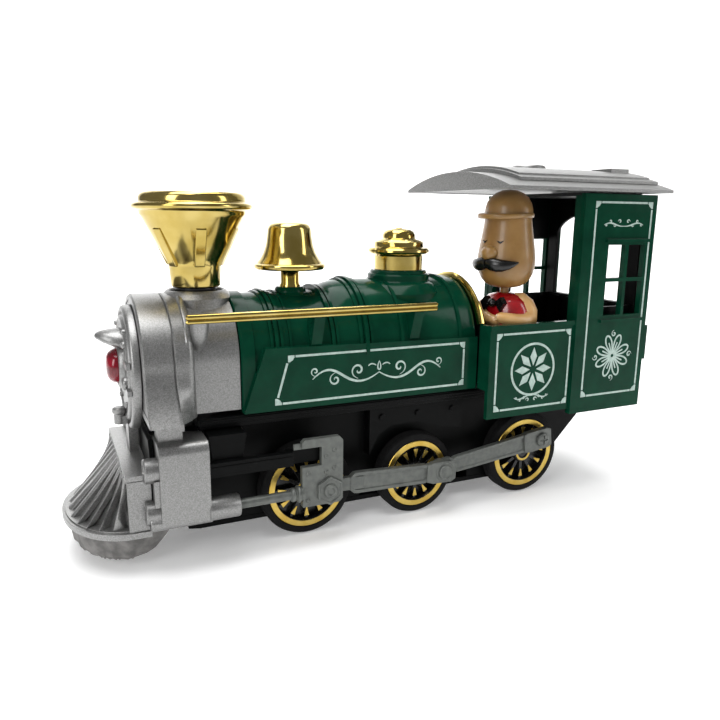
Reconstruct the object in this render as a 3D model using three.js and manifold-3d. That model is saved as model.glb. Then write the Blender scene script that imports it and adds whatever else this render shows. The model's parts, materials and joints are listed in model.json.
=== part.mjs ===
// Toy steam locomotive with a pull-back motor. Millimetres, +Z up, front towards -X, left side -Y.
import * as THREE from 'three';
import Module from 'manifold-3d';

const wasm = await Module();
wasm.setup();

// ---- driving dimensions (x is measured from the front axle, z from the ground) ----
const AXLE_X = [0, 35.1, 75];
const WHEEL_R = [13.4, 12.4, 13.4];
const WHEEL_IN = 11.6;
const WHEEL_OUT = 16.4;
const AXLE_R = 1.25;
const PISTON_Z = 15.3;
const PISTON_Y = 23.1;
const XHEAD_X = 3.6;
const MID = [41.7, 13.8];
const CRANK = [79.4, 18.4];
const BOILER_Z = 51;
const BOILER_R = 16.2;
const WAGON_R = 19.4;
const BARREL_X = -18;
const BOILER_END = 53.8;
const SHELL = 1.6;
const STACK_X = -25.5;
const BELL_X = 1.1;
const DOME_X = 36;
const PANEL_Y = 18;
const CAB = { x0: 54.3, x1: 115, y: 23.8, z0: 29, sill: 57.2, top: 95.7 };
const DOOR_Y = 24.6;
const ROOF = { x0: 54.6, x1: 116.6, w: 28.9, edge: 96.2, crown: 103 };
const DRIVER = { x: 68.5, y: -11.5 };
const GEAR_M = 0.8;
const PINION_T = 12;
const SPRING_T = 24;
const GEAR_C = [62.07, 19.74];

// ---- solid helpers ----
function seg(n) {
  // every round part states a fineness; the facets drawn are under half of it
  return Math.max(6, 2 * Math.round(n * 0.21));
}

function solid(geometry) {
  const g = geometry.index ? geometry.toNonIndexed() : geometry;
  const p = g.attributes.position;
  const ids = new Map();
  const verts = [];
  const tris = [];
  const corner = [];
  for (let i = 0; i < p.count; i++) {
    const v = [p.getX(i), p.getY(i), p.getZ(i)];
    const key = v.map((c) => Math.round(c * 1e4)).join(',');
    if (!ids.has(key)) {
      ids.set(key, verts.length / 3);
      verts.push(...v);
    }
    corner.push(ids.get(key));
  }
  for (let i = 0; i < corner.length; i += 3) {
    const [a, b, c] = [corner[i], corner[i + 1], corner[i + 2]];
    if (a !== b && b !== c && c !== a) tris.push(a, b, c);
  }
  let volume = 0;
  for (let i = 0; i < tris.length; i += 3) {
    const [a, b, c] = [0, 1, 2].map((k) => new THREE.Vector3(...verts.slice(3 * tris[i + k], 3 * tris[i + k] + 3)));
    volume += a.dot(b.cross(c));
  }
  if (volume < 0) {
    for (let i = 0; i < tris.length; i += 3) {
      const swap = tris[i];
      tris[i] = tris[i + 1];
      tris[i + 1] = swap;
    }
  }
  const mesh = new wasm.Mesh({
    numProp: 3,
    vertProperties: new Float32Array(verts),
    triVerts: new Uint32Array(tris),
  });
  return new wasm.Manifold(mesh);
}

function add(first, ...rest) {
  return rest.reduce((a, b) => a.add(b), first);
}

function cut(first, ...rest) {
  return rest.reduce((a, b) => a.subtract(b), first);
}

function box(x0, x1, y0, y1, z0, z1) {
  const g = new THREE.BoxGeometry(x1 - x0, y1 - y0, z1 - z0);
  return solid(g.translate((x0 + x1) / 2, (y0 + y1) / 2, (z0 + z1) / 2));
}

function cylinder(r0, r1, length, n) {
  return new THREE.CylinderGeometry(r1, r0, length, seg(n));
}

function cylZ(x, y, z0, z1, r, n = 24, r2 = r) {
  return solid(cylinder(r, r2, z1 - z0, n).rotateX(Math.PI / 2).translate(x, y, (z0 + z1) / 2));
}

function cylY(x, z, y0, y1, r, n = 24) {
  return solid(cylinder(r, r, y1 - y0, n).translate(x, (y0 + y1) / 2, z));
}

function cylX(y, z, x0, x1, r, n = 24, r2 = r) {
  return solid(cylinder(r, r2, x1 - x0, n).rotateZ(-Math.PI / 2).translate((x0 + x1) / 2, y, z));
}

function shapeOf(points) {
  return new THREE.Shape(points.map(([a, b]) => new THREE.Vector2(a, b)));
}

function extrude(points, depth, holes = []) {
  const shape = shapeOf(points);
  for (const hole of holes) shape.holes.push(shapeOf(hole));
  return new THREE.ExtrudeGeometry(shape, { depth, bevelEnabled: false, curveSegments: 8 });
}

function prismY(points, y0, y1, holes = []) {
  return solid(extrude(points, y1 - y0, holes).rotateX(Math.PI / 2).translate(0, y1, 0));
}

function prismX(points, x0, x1, holes = []) {
  const g = extrude(points, x1 - x0, holes);
  g.applyMatrix4(new THREE.Matrix4().set(0, 0, 1, x0, 1, 0, 0, 0, 0, 1, 0, 0, 0, 0, 0, 1));
  return solid(g);
}

function prismZ(points, z0, z1, holes = []) {
  return solid(extrude(points, z1 - z0, holes).translate(0, 0, z0));
}

function lathe(profile, n = 32) {
  const points = profile.map(([r, h]) => new THREE.Vector2(r, h));
  return new THREE.LatheGeometry(points, seg(n)).rotateX(Math.PI / 2);
}

function latheZ(profile, x, y, n = 32) {
  return solid(lathe(profile, n).translate(x, y, 0));
}

function latheX(profile, y, z, n = 32) {
  return solid(lathe(profile, n).rotateY(Math.PI / 2).translate(0, y, z));
}

function circle(cx, cy, r, fineness, start = 0) {
  const out = [];
  const n = fineness === 6 ? 6 : seg(fineness);
  for (let i = 0; i < n; i++) {
    const a = start + (2 * Math.PI * i) / n;
    out.push([cx + r * Math.cos(a), cy + r * Math.sin(a)]);
  }
  return out;
}

function loft(sections, flat) {
  // sections: closed loops of [x, y, z] with equal counts; flat drops the axis the caps are normal to
  const n = sections[0].length;
  const position = [];
  const face = (a, b, c) => position.push(...a, ...b, ...c);
  for (let s = 0; s + 1 < sections.length; s++) {
    for (let i = 0; i < n; i++) {
      const j = (i + 1) % n;
      face(sections[s][i], sections[s][j], sections[s + 1][j]);
      face(sections[s][i], sections[s + 1][j], sections[s + 1][i]);
    }
  }
  const drop = (p) => new THREE.Vector2(...p.filter((_, k) => k !== flat));
  for (const last of [false, true]) {
    const loop = last ? sections[sections.length - 1] : sections[0];
    const plan = loop.map(drop);
    const winding = Math.sign(THREE.ShapeUtils.area(plan));
    for (const [a, b, c] of THREE.ShapeUtils.triangulateShape(plan, [])) {
      const same = Math.sign(THREE.ShapeUtils.area([plan[a], plan[b], plan[c]])) === winding;
      if (same === last) face(loop[a], loop[b], loop[c]);
      else face(loop[a], loop[c], loop[b]);
    }
  }
  const g = new THREE.BufferGeometry();
  g.setAttribute('position', new THREE.Float32BufferAttribute(position, 3));
  return solid(g);
}

function tube(points, r, segments, sides = 8) {
  const curve = new THREE.CatmullRomCurve3(points.map((p) => new THREE.Vector3(...p)));
  const ring = shapeOf(circle(0, 0, r, sides));
  return solid(new THREE.ExtrudeGeometry(ring, { steps: segments, extrudePath: curve, bevelEnabled: false }));
}

// ---- the assembly list ----
const nodes = [];

function keep(name, body, colour, roughness, metalness) {
  nodes.push({ name, body, colour, roughness, metalness });
}

function mirrorY(body) {
  return body.mirror([0, 1, 0]);
}

function keepPair(name, body, colour, roughness, metalness) {
  keep(`${name}_l`, body, colour, roughness, metalness);
  keep(`${name}_r`, mirrorY(body), colour, roughness, metalness);
}

const BLACK = [0x111212, 0.4, 0];
const GREEN = [0x063a28, 0.25, 0];
const SILVER = [0xa9a7a2, 0.4, 0.6];
const GOLD = [0xc9a94a, 0.2, 0.9];
const ROD = [0x6e716c, 0.5, 0.2];
const STEEL = [0x9a9c9e, 0.35, 0.8];
const NYLON = [0xe8e4d8, 0.5, 0];

// ---- chassis ----
function frameProfile() {
  return [[-33, 6], [86, 6], [104, 24.4], [104, 33.9], [-33, 33.9]];
}

function baseFrame() {
  let body = prismY(frameProfile(), -10.9, 10.9);
  body = cut(body, prismY([[-30, 0], [84, 0], [101, 25], [101, 32], [-30, 32]], -9.1, 9.1));
  const arches = [[18.5, 30], [53, 57]];
  for (const [x0, x1] of arches) body = cut(body, prismY([[x0, 0], [x1, 0], [x1, 12], [x0, 12]], -30, 30));
  for (const x of AXLE_X) body = cut(body, cylY(x, WHEEL_R[AXLE_X.indexOf(x)], -20, 20, AXLE_R + 0.07, 24));
  const side = prismY([[20, 19.6], [23, 25.6], [27, 28], [36, 28.3], [44, 25.6], [51.5, 24.6], [51.5, 33.9], [20, 33.9]], -14.6, -10.8);
  const rivets = [24, 36, 48].map((x) => cylY(x, 30.9, -15.2, -14.5, 1, 12));
  const wing = add(side, ...rivets);
  body = add(body, wing, mirrorY(wing));
  for (const x of [-22, 16, 47, 92]) body = add(body, cylZ(x, 0, 6, 32.5, 3, 16));
  for (const x of [-22, 92]) body = cut(body, cylZ(x, 0, 0, 20, 1.25, 16));
  return body;
}

function basePlate() {
  let plate = prismZ([[-32, -9.6], [-29, -10.6], [83, -10.6], [85.5, -9], [85.5, 9], [83, 10.6], [-29, 10.6], [-32, 9.6]], 4.3, 5.8);
  for (const x of AXLE_X) plate = cut(plate, box(x - 3.2, x + 3.2, -7, 7, 0, 7));
  for (let i = 0; i < 5; i++) plate = cut(plate, box(14 + 2 * i, 15 + 2 * i, -5, 5, 0, 7));
  plate = cut(plate, cylZ(-22, 0, 0, 8, 1.6, 16));
  for (const x of [-12, 52]) plate = add(plate, box(x - 5, x + 5, -8, 8, 3.9, 4.6));
  return plate;
}

function footplate() {
  const outline = [[-30, -17.6], [56, -17.6], [58, -16.6], [103, -16.6], [103, 16.6], [58, 16.6], [56, 17.6], [-30, 17.6]];
  let plate = prismZ(outline, 34.2, 37.2);
  plate = cut(plate, box(-14, 52, -7, 7, 30, 40));
  for (let i = 0; i < 8; i++) {
    const x = -24 + 10 * i;
    plate = add(plate, box(x, x + 5, -18.2, -17.4, 34.9, 36.4), box(x, x + 5, 17.4, 18.2, 34.9, 36.4));
  }
  return plate;
}

function slideBar() {
  const bar = box(-28.6, -6.4, -23.6, -21.6, 23.5, 27.3);
  const rib = box(-28.6, -6.8, -23.9, -23.5, 24.5, 26.3);
  const hanger = prismY([[-27, 24], [-20, 24], [-18.5, 33.9], [-28.2, 33.9]], -21.7, -19.8);
  const foot = box(-28.2, -18.5, -21.7, -15.5, 32.4, 33.9);
  return add(bar, rib, hanger, foot);
}

// ---- wheels ----
function wheel(index) {
  const r = WHEEL_R[index] - 2.1;
  const x = AXLE_X[index];
  const z = WHEEL_R[index];
  const count = 12;
  const holes = [];
  for (let i = 0; i < count; i++) {
    const a = (2 * Math.PI * (i + 0.5)) / count;
    const half = Math.PI / count;
    const hole = [];
    for (const [rr, k] of [[3.9, 0.35], [r - 2.4, 0.8], [r - 2.4, -0.8], [3.9, -0.35]]) {
      hole.push([x + rr * Math.cos(a + half * k), z + rr * Math.sin(a + half * k)]);
    }
    holes.push(hole.reverse());
  }
  const web = prismY(circle(x, z, r - 0.8, 48), -WHEEL_OUT + 0.5, -WHEEL_IN - 1.2, holes);
  const rim = cut(cylY(x, z, -WHEEL_OUT, -WHEEL_IN, r, 48), cylY(x, z, -20, 0, r - 1.7, 48));
  const hub = cylY(x, z, -WHEEL_OUT, -WHEEL_IN + 0.3, 3.2, 24);
  return cut(add(web, rim, hub), cylY(x, z, -15.4, 0, AXLE_R + 0.04, 24));
}

function tyre(index) {
  const r = WHEEL_R[index];
  const half = (WHEEL_OUT - WHEEL_IN) / 2;
  const profile = [[r - 2.0, -half], [r - 0.4, -half], [r, -half + 0.5], [r, half - 0.2], [r - 2.0, half - 0.2],
    [r - 2.0, -half]];
  const ring = lathe(profile, 48).rotateX(-Math.PI / 2);
  return solid(ring.translate(AXLE_X[index], -(WHEEL_OUT + WHEEL_IN) / 2 + 0.1, r));
}

function axle(index) {
  const x = AXLE_X[index];
  const z = WHEEL_R[index];
  return cylY(x, z, -15.2, 15.2, AXLE_R, 24);
}

// ---- motion ----
function bar(from, to, w0, w1, y0, y1) {
  const dx = to[0] - from[0];
  const dz = to[1] - from[1];
  const length = Math.hypot(dx, dz);
  const [nx, nz] = [-dz / length, dx / length];
  const points = [
    [from[0] - nx * w0, from[1] - nz * w0], [to[0] - nx * w1, to[1] - nz * w1],
    [to[0] + nx * w1, to[1] + nz * w1], [from[0] + nx * w0, from[1] + nz * w0],
  ];
  return prismY(points, y0, y1);
}

function along(from, to, t) {
  return [from[0] + (to[0] - from[0]) * t, from[1] + (to[1] - from[1]) * t];
}

function crosshead() {
  const plate = [[-4.2, 11.4], [6.8, 11.4], [7.6, 12.4], [7.6, 29.4], [6.8, 30.4], [-3.6, 30.4], [-4.2, 29.8],
    [-4.2, 28], [1.3, 28], [1.3, 22.8], [-4.2, 22.8]];
  let body = prismY(plate, -24, -22.2);
  body = cut(body, prismY([[2.9, 24.5], [6.4, 24.5], [6.4, 28.8], [2.9, 28.8]], -25, -23.7));
  const boss = prismY(circle(XHEAD_X, PISTON_Z, 3.9, 6, Math.PI / 6), -25, -23.9);
  const eye = cylY(XHEAD_X, PISTON_Z, -25.5, -24.9, 1.9, 20);
  const pin = cylY(XHEAD_X, PISTON_Z, -22.3, -19.2, 1.5, 24);
  const rivets = [[5, 21.4], [5, 19.6], [-2.6, 20.9], [-2.6, 13]].map(([x, z]) => cylY(x, z, -24.5, -23.9, 0.6, 10));
  const rod = cylX(-PISTON_Y, PISTON_Z, -36, -4, 1.3, 16);
  const collar = add(cylX(-PISTON_Y, PISTON_Z, -6.4, -4, 1.8, 16), cylX(-PISTON_Y, PISTON_Z, -5.2, -4, 2.2, 16));
  return add(body, boss, eye, pin, rod, collar, ...rivets);
}

function mainRod() {
  const front = [XHEAD_X, PISTON_Z];
  const [y0, y1] = [-21.8, -19.9];
  const neck = bar(front, along(front, MID, 0.3), 1.6, 1.6, y0, y1);
  const blade = bar(along(front, MID, 0.22), along(front, MID, 0.86), 3.1, 2.9, y0, y1);
  const channel = bar(along(front, MID, 0.29), along(front, MID, 0.79), 1.7, 1.6, y0 - 1, y0 + 0.6);
  const tail = bar(along(front, MID, 0.8), MID, 2.0, 2.0, y0, y1);
  const eyes = add(cylY(front[0], front[1], y0, y1, 2.9, 24), cylY(MID[0], MID[1], y0 - 0.3, y1, 3.2, 28));
  const body = cut(add(neck, blade, tail, eyes), channel);
  return cut(body, cylY(front[0], front[1], -30, 0, 1.56, 24), cylY(MID[0], MID[1], -30, 0, 1.56, 24));
}

function midPin() {
  const head = add(cylY(MID[0], MID[1], -22.9, -22.2, 2.3, 20), cylY(MID[0], MID[1], -23.2, -22.8, 1.5, 20));
  return add(head, cylY(MID[0], MID[1], -22.3, -17.1, 1.5, 24), cylY(MID[0], MID[1], -17.5, -17.0, 2.3, 20));
}

function sideRod() {
  const [y0, y1] = [-19.6, -17.8];
  const blade = bar(along(MID, CRANK, 0.12), along(MID, CRANK, 0.83), 2.3, 2.9, y0, y1);
  const channel = bar(along(MID, CRANK, 0.22), along(MID, CRANK, 0.77), 1.2, 1.7, y0 - 1, y0 + 0.6);
  const neck = bar(MID, along(MID, CRANK, 0.17), 1.8, 1.8, y0, y1);
  const head = bar(along(MID, CRANK, 0.82), along(MID, CRANK, 1.1), 3.3, 3.2, y0 - 0.4, y1);
  const body = cut(add(blade, neck, head, cylY(MID[0], MID[1], y0, y1, 3, 28)), channel);
  return cut(body, cylY(MID[0], MID[1], -30, 0, 1.58, 24), cylY(CRANK[0], CRANK[1], -30, 0, 1.55, 24));
}

function crankScrew() {
  const head = cut(cylY(CRANK[0], CRANK[1], -21.1, -20.1, 2.3, 20), box(CRANK[0] - 3, CRANK[0] + 3, -22, -20.7, CRANK[1] - 0.3, CRANK[1] + 0.3));
  return add(head, cylY(CRANK[0], CRANK[1], -20.2, -16.9, 1.5, 24));
}

function cylinderBlock() {
  const profile = [[-25.5, 14.2], [-25.5, 31.6], [-24.9, 33.2], [-23.4, 34.0], [-15.4, 34.0], [-15.4, 14.2]];
  const block = prismX(profile, -41, -28.9);
  const bosses = [27.2, 16.2].map((z) => cylX(-21.8, z, -44.4, -40.8, 3.1, 24));
  const lip = cylX(-23.4, 14.2, -43.6, -28.4, 2.1, 20);
  const sleeve = cylX(-PISTON_Y, PISTON_Z, -29, -21.3, 3, 28);
  const steps = add(box(-40.6, -34.6, -24.4, -15.4, 33.9, 36.6), box(-40.9, -34.2, -25.2, -15.4, 36.5, 38.2));
  const foot = box(-40, -30, -15.5, -11.2, 16, 30);
  const body = add(block, ...bosses, lip, sleeve, steps, foot);
  return cut(body, cylX(-PISTON_Y, PISTON_Z, -41.2 + 0.5, 0, 1.4, 20), cylX(-21.8, 16.2, -50, -42.8, 1.9, 20));
}

// ---- front end ----
function pilotArc(scale, n) {
  // plan outline of the pilot's foot from the left rear round the front to the right rear
  const out = [];
  for (let i = 0; i <= n; i++) {
    const a = -Math.PI / 2 + (Math.PI * i) / n;
    out.push([-47 - 16 * scale * Math.cos(a), 22 * scale * Math.sin(a)]);
  }
  return out;
}

function cowcatcher() {
  const slats = 10;
  const steps = slats * 2;
  const arc = pilotArc(0.86, steps);
  const low = [];
  const high = [];
  for (let i = 0; i <= steps; i++) {
    const groove = i % 2 === 0 ? 0 : 1;
    const a = -Math.PI / 2 + (Math.PI * i) / steps;
    const [x, y] = arc[i];
    low.push([x + 2.2 * groove * Math.cos(a), y - 1.6 * groove * Math.sin(a), 11.5]);
    high.push([-48.3 + 0.6 * groove, -20.6 + (41.2 * i) / steps, 24.9]);
  }
  const back = (z) => [[-44.9, 20.6, z], [-44.9, -20.6, z]];
  const wedge = loft([[...low, ...back(11.5)], [...high, ...back(24.9)]], 2);
  const hollow = (arcScale, z) => {
    const p = pilotArc(arcScale, 12).map(([x, y]) => [x + 1, y, z]);
    return [...p, [-38, 15.5, z], [-38, -15.5, z]];
  };
  const topInner = pilotArc(0.7, 12).map(([, y]) => [-45.6, y, 23.2]);
  const inside = loft([hollow(0.68, 5), hollow(0.62, 12), [...topInner, [-38, 15.5, 23.2], [-38, -15.5, 23.2]]], 2);
  const deck = prismZ([[-48.6, -21.5], [-44.9, -21.5], [-44.9, -11], [-37, -11], [-37, 11], [-44.9, 11], [-44.9, 21.5], [-48.6, 21.5]], 24.6, 26.2);
  const sideWall = prismY([[-48.2, 11.4], [-44.9, 11.4], [-44.9, 25], [-48.2, 25]], -21.5, -20);
  const rim = prismZ([...pilotArc(1, 24), [-44.9, 22], [-44.9, -22]], 10, 11.8);
  const post = add(cylZ(-47.7, 1.5, 26, 36.6, 1.1, 16), cylZ(-47.7, 1.5, 36.4, 38.2, 1.6, 16));
  const riser = box(-44.6, -43.2, -4, 4, 26, 30.5);
  return cut(add(wedge, deck, rim, sideWall, mirrorY(sideWall), post, riser), inside);
}

function pilotSkirt() {
  const ring = (scale, z, drop) => {
    const p = pilotArc(scale, 20).map(([x, y], i) => [x, y, z + (i % 2 ? drop : 0)]);
    return [...p, [-38, 18 * scale, z], [-38, -18 * scale, z]];
  };
  const outer = loft([ring(0.72, 1.6, 0), ring(0.86, 5.5, 0), ring(0.9, 9.7, 0)], 2);
  const inner = loft([ring(0.6, 0.5, 0), ring(0.74, 5.5, 0), ring(0.8, 8.2, 0)], 2);
  return cut(outer, inner);
}

function arch(x, top, sideY, footY, footZ, n = 10, zc = BOILER_Z) {
  // half-round top of radius `top`, sides running down to (footY, footZ)
  const out = [[x, -footY, footZ], [x, -(sideY + footY) / 2, (zc + footZ) / 2 - 1.2]];
  for (let i = 0; i <= n; i++) {
    const a = Math.PI - (Math.PI * i) / n;
    out.push([x, sideY * Math.cos(a), zc + top * Math.sin(a)]);
  }
  out.push([x, (sideY + footY) / 2, (zc + footZ) / 2 - 1.2], [x, footY, footZ]);
  return out;
}

function slab(x0, x1, ...shape) {
  return loft([arch(x0, ...shape), arch(x1, ...shape)], 0);
}

function hoop(x0, x1, outer, inner, footZ) {
  const ring = cut(slab(x0, x1, outer, outer, outer, 40), slab(x0 - 1, x1 + 1, inner, inner, inner, 30));
  return cut(ring, box(x0 - 2, x1 + 2, -30, 30, 20, footZ));
}

function smokebox() {
  const drum = slab(-42.8, -35.7, 17, 20, 27, 39);
  const core = slab(-36, -35, 16.2, 19.2, 26, 39);
  const flange = loft([arch(-35.2, 17, 20, 25.4, 39), arch(-31.6, 17, 19.6, 22.4, 39)], 0);
  const bead = loft([arch(-31.8, 17.6, 19.8, 21, 39), arch(-30.2, 17.6, 18.8, 19.4, 39)], 0);
  const barrel = slab(-30.5, -18.3, BOILER_R, BOILER_R, BOILER_R + 0.3, 38.6);
  const socket = cylZ(STACK_X, 0, 62, 67.6, 8.2, 32).intersect(box(-40, -18.3, -20, 20, 0, 90));
  let body = add(drum, core, flange, bead, barrel, socket);
  body = cut(body, slab(-41, -15, BOILER_R - SHELL, BOILER_R - SHELL, BOILER_R - SHELL, 30));
  body = cut(body, cylZ(STACK_X, 0, 55, 80, 7, 32));
  body = cut(body, slab(-40.4, -32.4, 14.1, 17, 21.5, 29));
  const bracket = prismX([[-21, 62.1], [-20.4, 60], [-18.4, 57], [-15.8, 55], [-14.6, 56], [-11, 62.1]], -30.8, -26.4);
  return add(body, bracket, mirrorY(bracket));
}

function smokeboxFront() {
  const zc = 48.8;
  const profile = [[0, -45.6], [12.6, -45.6], [13.6, -45.2], [14.4, -44.4], [15, -45.1], [15.8, -45.1], [16.4, -44.3],
    [16.4, -43.1], [0, -43.1]];
  let body = latheX(profile, 0, zc, 40);
  const lampRing = cut(cylX(0, 49.4, -46.6, -45.4, 6, 28), cylX(0, 49.4, -48, -45.9, 4.9, 28));
  const visorShape = [[-45.4, 54.2], [-45.4, 59.2], [-46.6, 59.4], [-51.4, 58.5], [-52, 57.6], [-50.6, 56.3], [-46.8, 54.4]];
  let visor = prismY(visorShape, -4.6, 4.6);
  visor = cut(visor, latheX([[0, -53], [4.1, -53], [5.2, -45.9], [0, -45.9]], 0, 52.4, 24));
  const taper = prismZ([[-45, -5], [-46.6, -5], [-52.2, -1], [-52.2, 1], [-46.6, 5], [-45, 5]], 50, 62);
  visor = visor.intersect(taper);
  const bolts = [];
  for (let i = 0; i < 4; i++) {
    const a = (2 * Math.PI * (i + 0.5)) / 4;
    bolts.push(cylX(11 * Math.cos(a), zc + 11 * Math.sin(a), -46.6, -45.4, 0.9, 10));
  }
  const hinge = add(box(-46.3, -45.2, 9, 15.8, 51.2, 52.8), box(-46.3, -45.2, 9, 15.8, 44.8, 46.4));
  const ornament = [0, 1, 2].map((i) => cylX(0, 41.6 - 2.4 * i, -46.4, -45.4, 1.6 - 0.4 * i, 10));
  return add(body, lampRing, visor, hinge, ...bolts, ...ornament);
}

function headlampLens() {
  return latheX([[0, -50.6], [2.2, -50.4], [3.8, -49.4], [4.6, -47.6], [4.6, -46.1], [0, -46.1]], 0, 49.4, 28);
}

function stack() {
  const profile = [
    [0, 94], [13, 94], [13.6, 92.4], [15.2, 92], [15.7, 90.6], [15.2, 89.4], [13.5, 88.6], [7.2, 75.8],
    [6.7, 74.2], [6.7, 61.2], [8.1, 60.6], [8.1, 59], [0, 59],
  ];
  let body = latheZ(profile, STACK_X, 0, 40);
  body = cut(body, latheZ([[0, 95], [11.6, 95], [11.2, 93.2], [0, 93.2]], STACK_X, 0, 32));
  for (let i = 0; i < 6; i++) {
    const rib = prismY([[6, 76], [8, 76.4], [14.2, 88.6], [11, 89.2]], -1.1, 1.1);
    body = add(body, rib.rotate([0, 0, 60 * i + 12]).translate([STACK_X, 0, 0]));
  }
  return body;
}

function coil(x, y, z0, z1, r, wire, turns) {
  const points = [];
  const n = turns * 8;
  for (let i = 0; i <= n; i++) {
    const a = (2 * Math.PI * i) / 8;
    points.push([x + r * Math.cos(a), y + r * Math.sin(a), z0 + ((z1 - z0) * i) / n]);
  }
  return tube(points, wire, turns * 8, 4);
}

// ---- boiler ----
function boilerShell() {
  const front = (x, r) => arch(x, r, r, r, 37.6);
  const outer = loft([
    front(BARREL_X, 16.8), front(-14, 16.8), front(-13.9, BOILER_R), front(6, BOILER_R + 0.2),
    front(14, WAGON_R - 0.6), front(BOILER_END, WAGON_R),
  ], 0);
  const panel = [[-19.2, 37.6], [BOILER_END, 37.6], [BOILER_END, 53.4], [-11.9, 54.5]];
  let body = add(outer, prismY([[-17.9, 37.6], ...panel.slice(1)], -PANEL_Y, PANEL_Y));
  const inner = loft([
    front(-30, BOILER_R - SHELL), front(6, BOILER_R - SHELL), front(14, WAGON_R - SHELL - 0.6),
    front(BOILER_END + 5, WAGON_R - SHELL),
  ], 0);
  body = cut(body, inner, box(-30, 80, -BOILER_R + SHELL, BOILER_R - SHELL, 30, 45));
  const bands = [];
  for (const [x, r] of [[-9.5, 17.1], [-3, 17.1], [5.5, 17.4], [26, 20.1]]) {
    bands.push(hoop(x, x + 1.6, r, r - 1.6, 54));
  }
  const inset = cylZ(DOME_X, 0, 60, 71.6, 9.4, 32);
  const pad = cylZ(DOME_X, 0, 60, 72.6, 8.6, 32);
  const bellPad = cylZ(BELL_X, 0, 60, 68.6, 4.2, 20);
  const bores = add(cylZ(DOME_X, 0, 50, 80, 3.3, 20), cylZ(BELL_X, 0, 50, 80, 1.6, 16));
  const studs = [];
  for (const x of [20, 32.4, 48]) studs.push(box(x - 1, x + 1, -20.2, -17.2, 54, 62), box(x - 1, x + 1, 17.2, 20.2, 54, 62));
  const pegs = add(box(1.2, 3.6, -20.6, -13, 56, 62), box(1.2, 3.6, 13, 20.6, 56, 62));
  const keepOut = slab(-40, 80, 15.5, 15.5, 15.5, 20);
  const lugs = cut(add(pegs, ...studs.slice(2, 4)), keepOut);
  return cut(add(body, ...bands, inset, pad, bellPad, lugs), bores, inner);
}

function handrail() {
  const y = -20.4;
  const rod = add(cylX(y, 64.4, -32.4, 38, 0.85, 12), cylX(y, 62.9, -32.4, 38, 0.6, 12), box(-31, 37.5, y - 0.4, y + 0.4, 62.9, 64.3));
  return cut(rod, box(-50, -40, -30, 30, 0, 90));
}

function backheadRing() {
  return hoop(53.9, 55.5, 20.4, 17.9, 57.6);
}

function backhead() {
  const plate = slab(55.8, 57, 17.6, 17.6, 17.6, 39.6);
  const dials = [[0, 60, 2.4], [-6.5, 56, 1.8], [6.5, 56, 1.8]].map(([y, z, r]) => cylX(y, z, 56.8, 58, r, 16));
  const door = cut(box(56.8, 58.2, -5, 5, 42, 49), box(57.6, 59, -4, 4, 43, 48));
  const lever = add(cylX(0, 52.5, 56.8, 59.2, 0.7, 10), cylY(58.8, 52.5, -5, 3, 0.6, 10));
  return add(plate, door, lever, ...dials);
}

function bell() {
  const profile = [[0, 86.4], [5.4, 86], [5.8, 83], [6.6, 79.2], [9.4, 75.2], [9.4, 74], [8.4, 73.4], [5, 79.5],
    [2.4, 80.6], [2.4, 68.9], [1.3, 68.7], [1.3, 62.5], [0, 62.5]];
  return latheZ(profile, BELL_X, 0, 36);
}

function domeCap() {
  const profile = [[0, 85], [4.2, 84.3], [4.9, 82.2], [7.4, 81], [7.6, 79.4], [9.3, 78.4], [7.4, 76.6], [7.3, 72.9],
    [2.8, 72.9], [2.8, 66], [0, 66]];
  return latheZ(profile, DOME_X, 0, 36);
}

// ---- cab ----
function cabShell() {
  const { x0, x1, y, z0, sill, top } = CAB;
  const panel = box(x0, 88, -y, -y + 1.5, z0, sill);
  const sillRail = box(x0, 88, -y - 0.4, -y + 1.5, sill - 1.2, sill + 0.2);
  const web = box(x0, x0 + 1.3, -y, -18.3, 37.6, sill);
  let door = box(85.6, x1, -DOOR_Y, -DOOR_Y + 2, 27.4, top);
  const paneX = [96.2, 103.4, 104.6, 111.6];
  const paneZ = [58.4, 69.0, 70.2, 80.4];
  for (const i of [0, 2]) for (const k of [0, 2]) door = cut(door, box(paneX[i], paneX[i + 1], -30, -20, paneZ[k], paneZ[k + 1]));
  const hood = add(box(95, 112.8, -DOOR_Y - 0.7, -DOOR_Y + 0.2, 81.2, 82.2), box(95, 112.8, -DOOR_Y - 0.7, -DOOR_Y + 0.2, 56.2, 57.2));
  const post = box(85.8, 87.5, -DOOR_Y + 0.4, -DOOR_Y + 4.6, 38.2, top - 0.5);
  const bump = box(x1 - 0.2, x1 + 1.1, -DOOR_Y, -DOOR_Y + 3, 43, 54.3);
  const side = add(panel, sillRail, web, door, hood, post, bump);
  const floor = box(58.4, x1 - 1, -y + 1, y - 1, 37.6, 38.8);
  const rear = box(x1 - 1.6, x1 - 0.1, -DOOR_Y + 0.2, DOOR_Y - 0.2, 27.6, top - 0.2);
  const opening = [[-18.8, 60.8], [18.8, 60.8]];
  for (let i = 0; i <= 12; i++) {
    const a = (Math.PI * i) / 12;
    opening.push([18.8 * Math.cos(a), 84 + 7.5 * Math.sin(a)]);
  }
  const body = add(side, mirrorY(side), floor, rear);
  return cut(body, prismX(opening, x1 - 5, x1 + 5));
}

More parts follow.
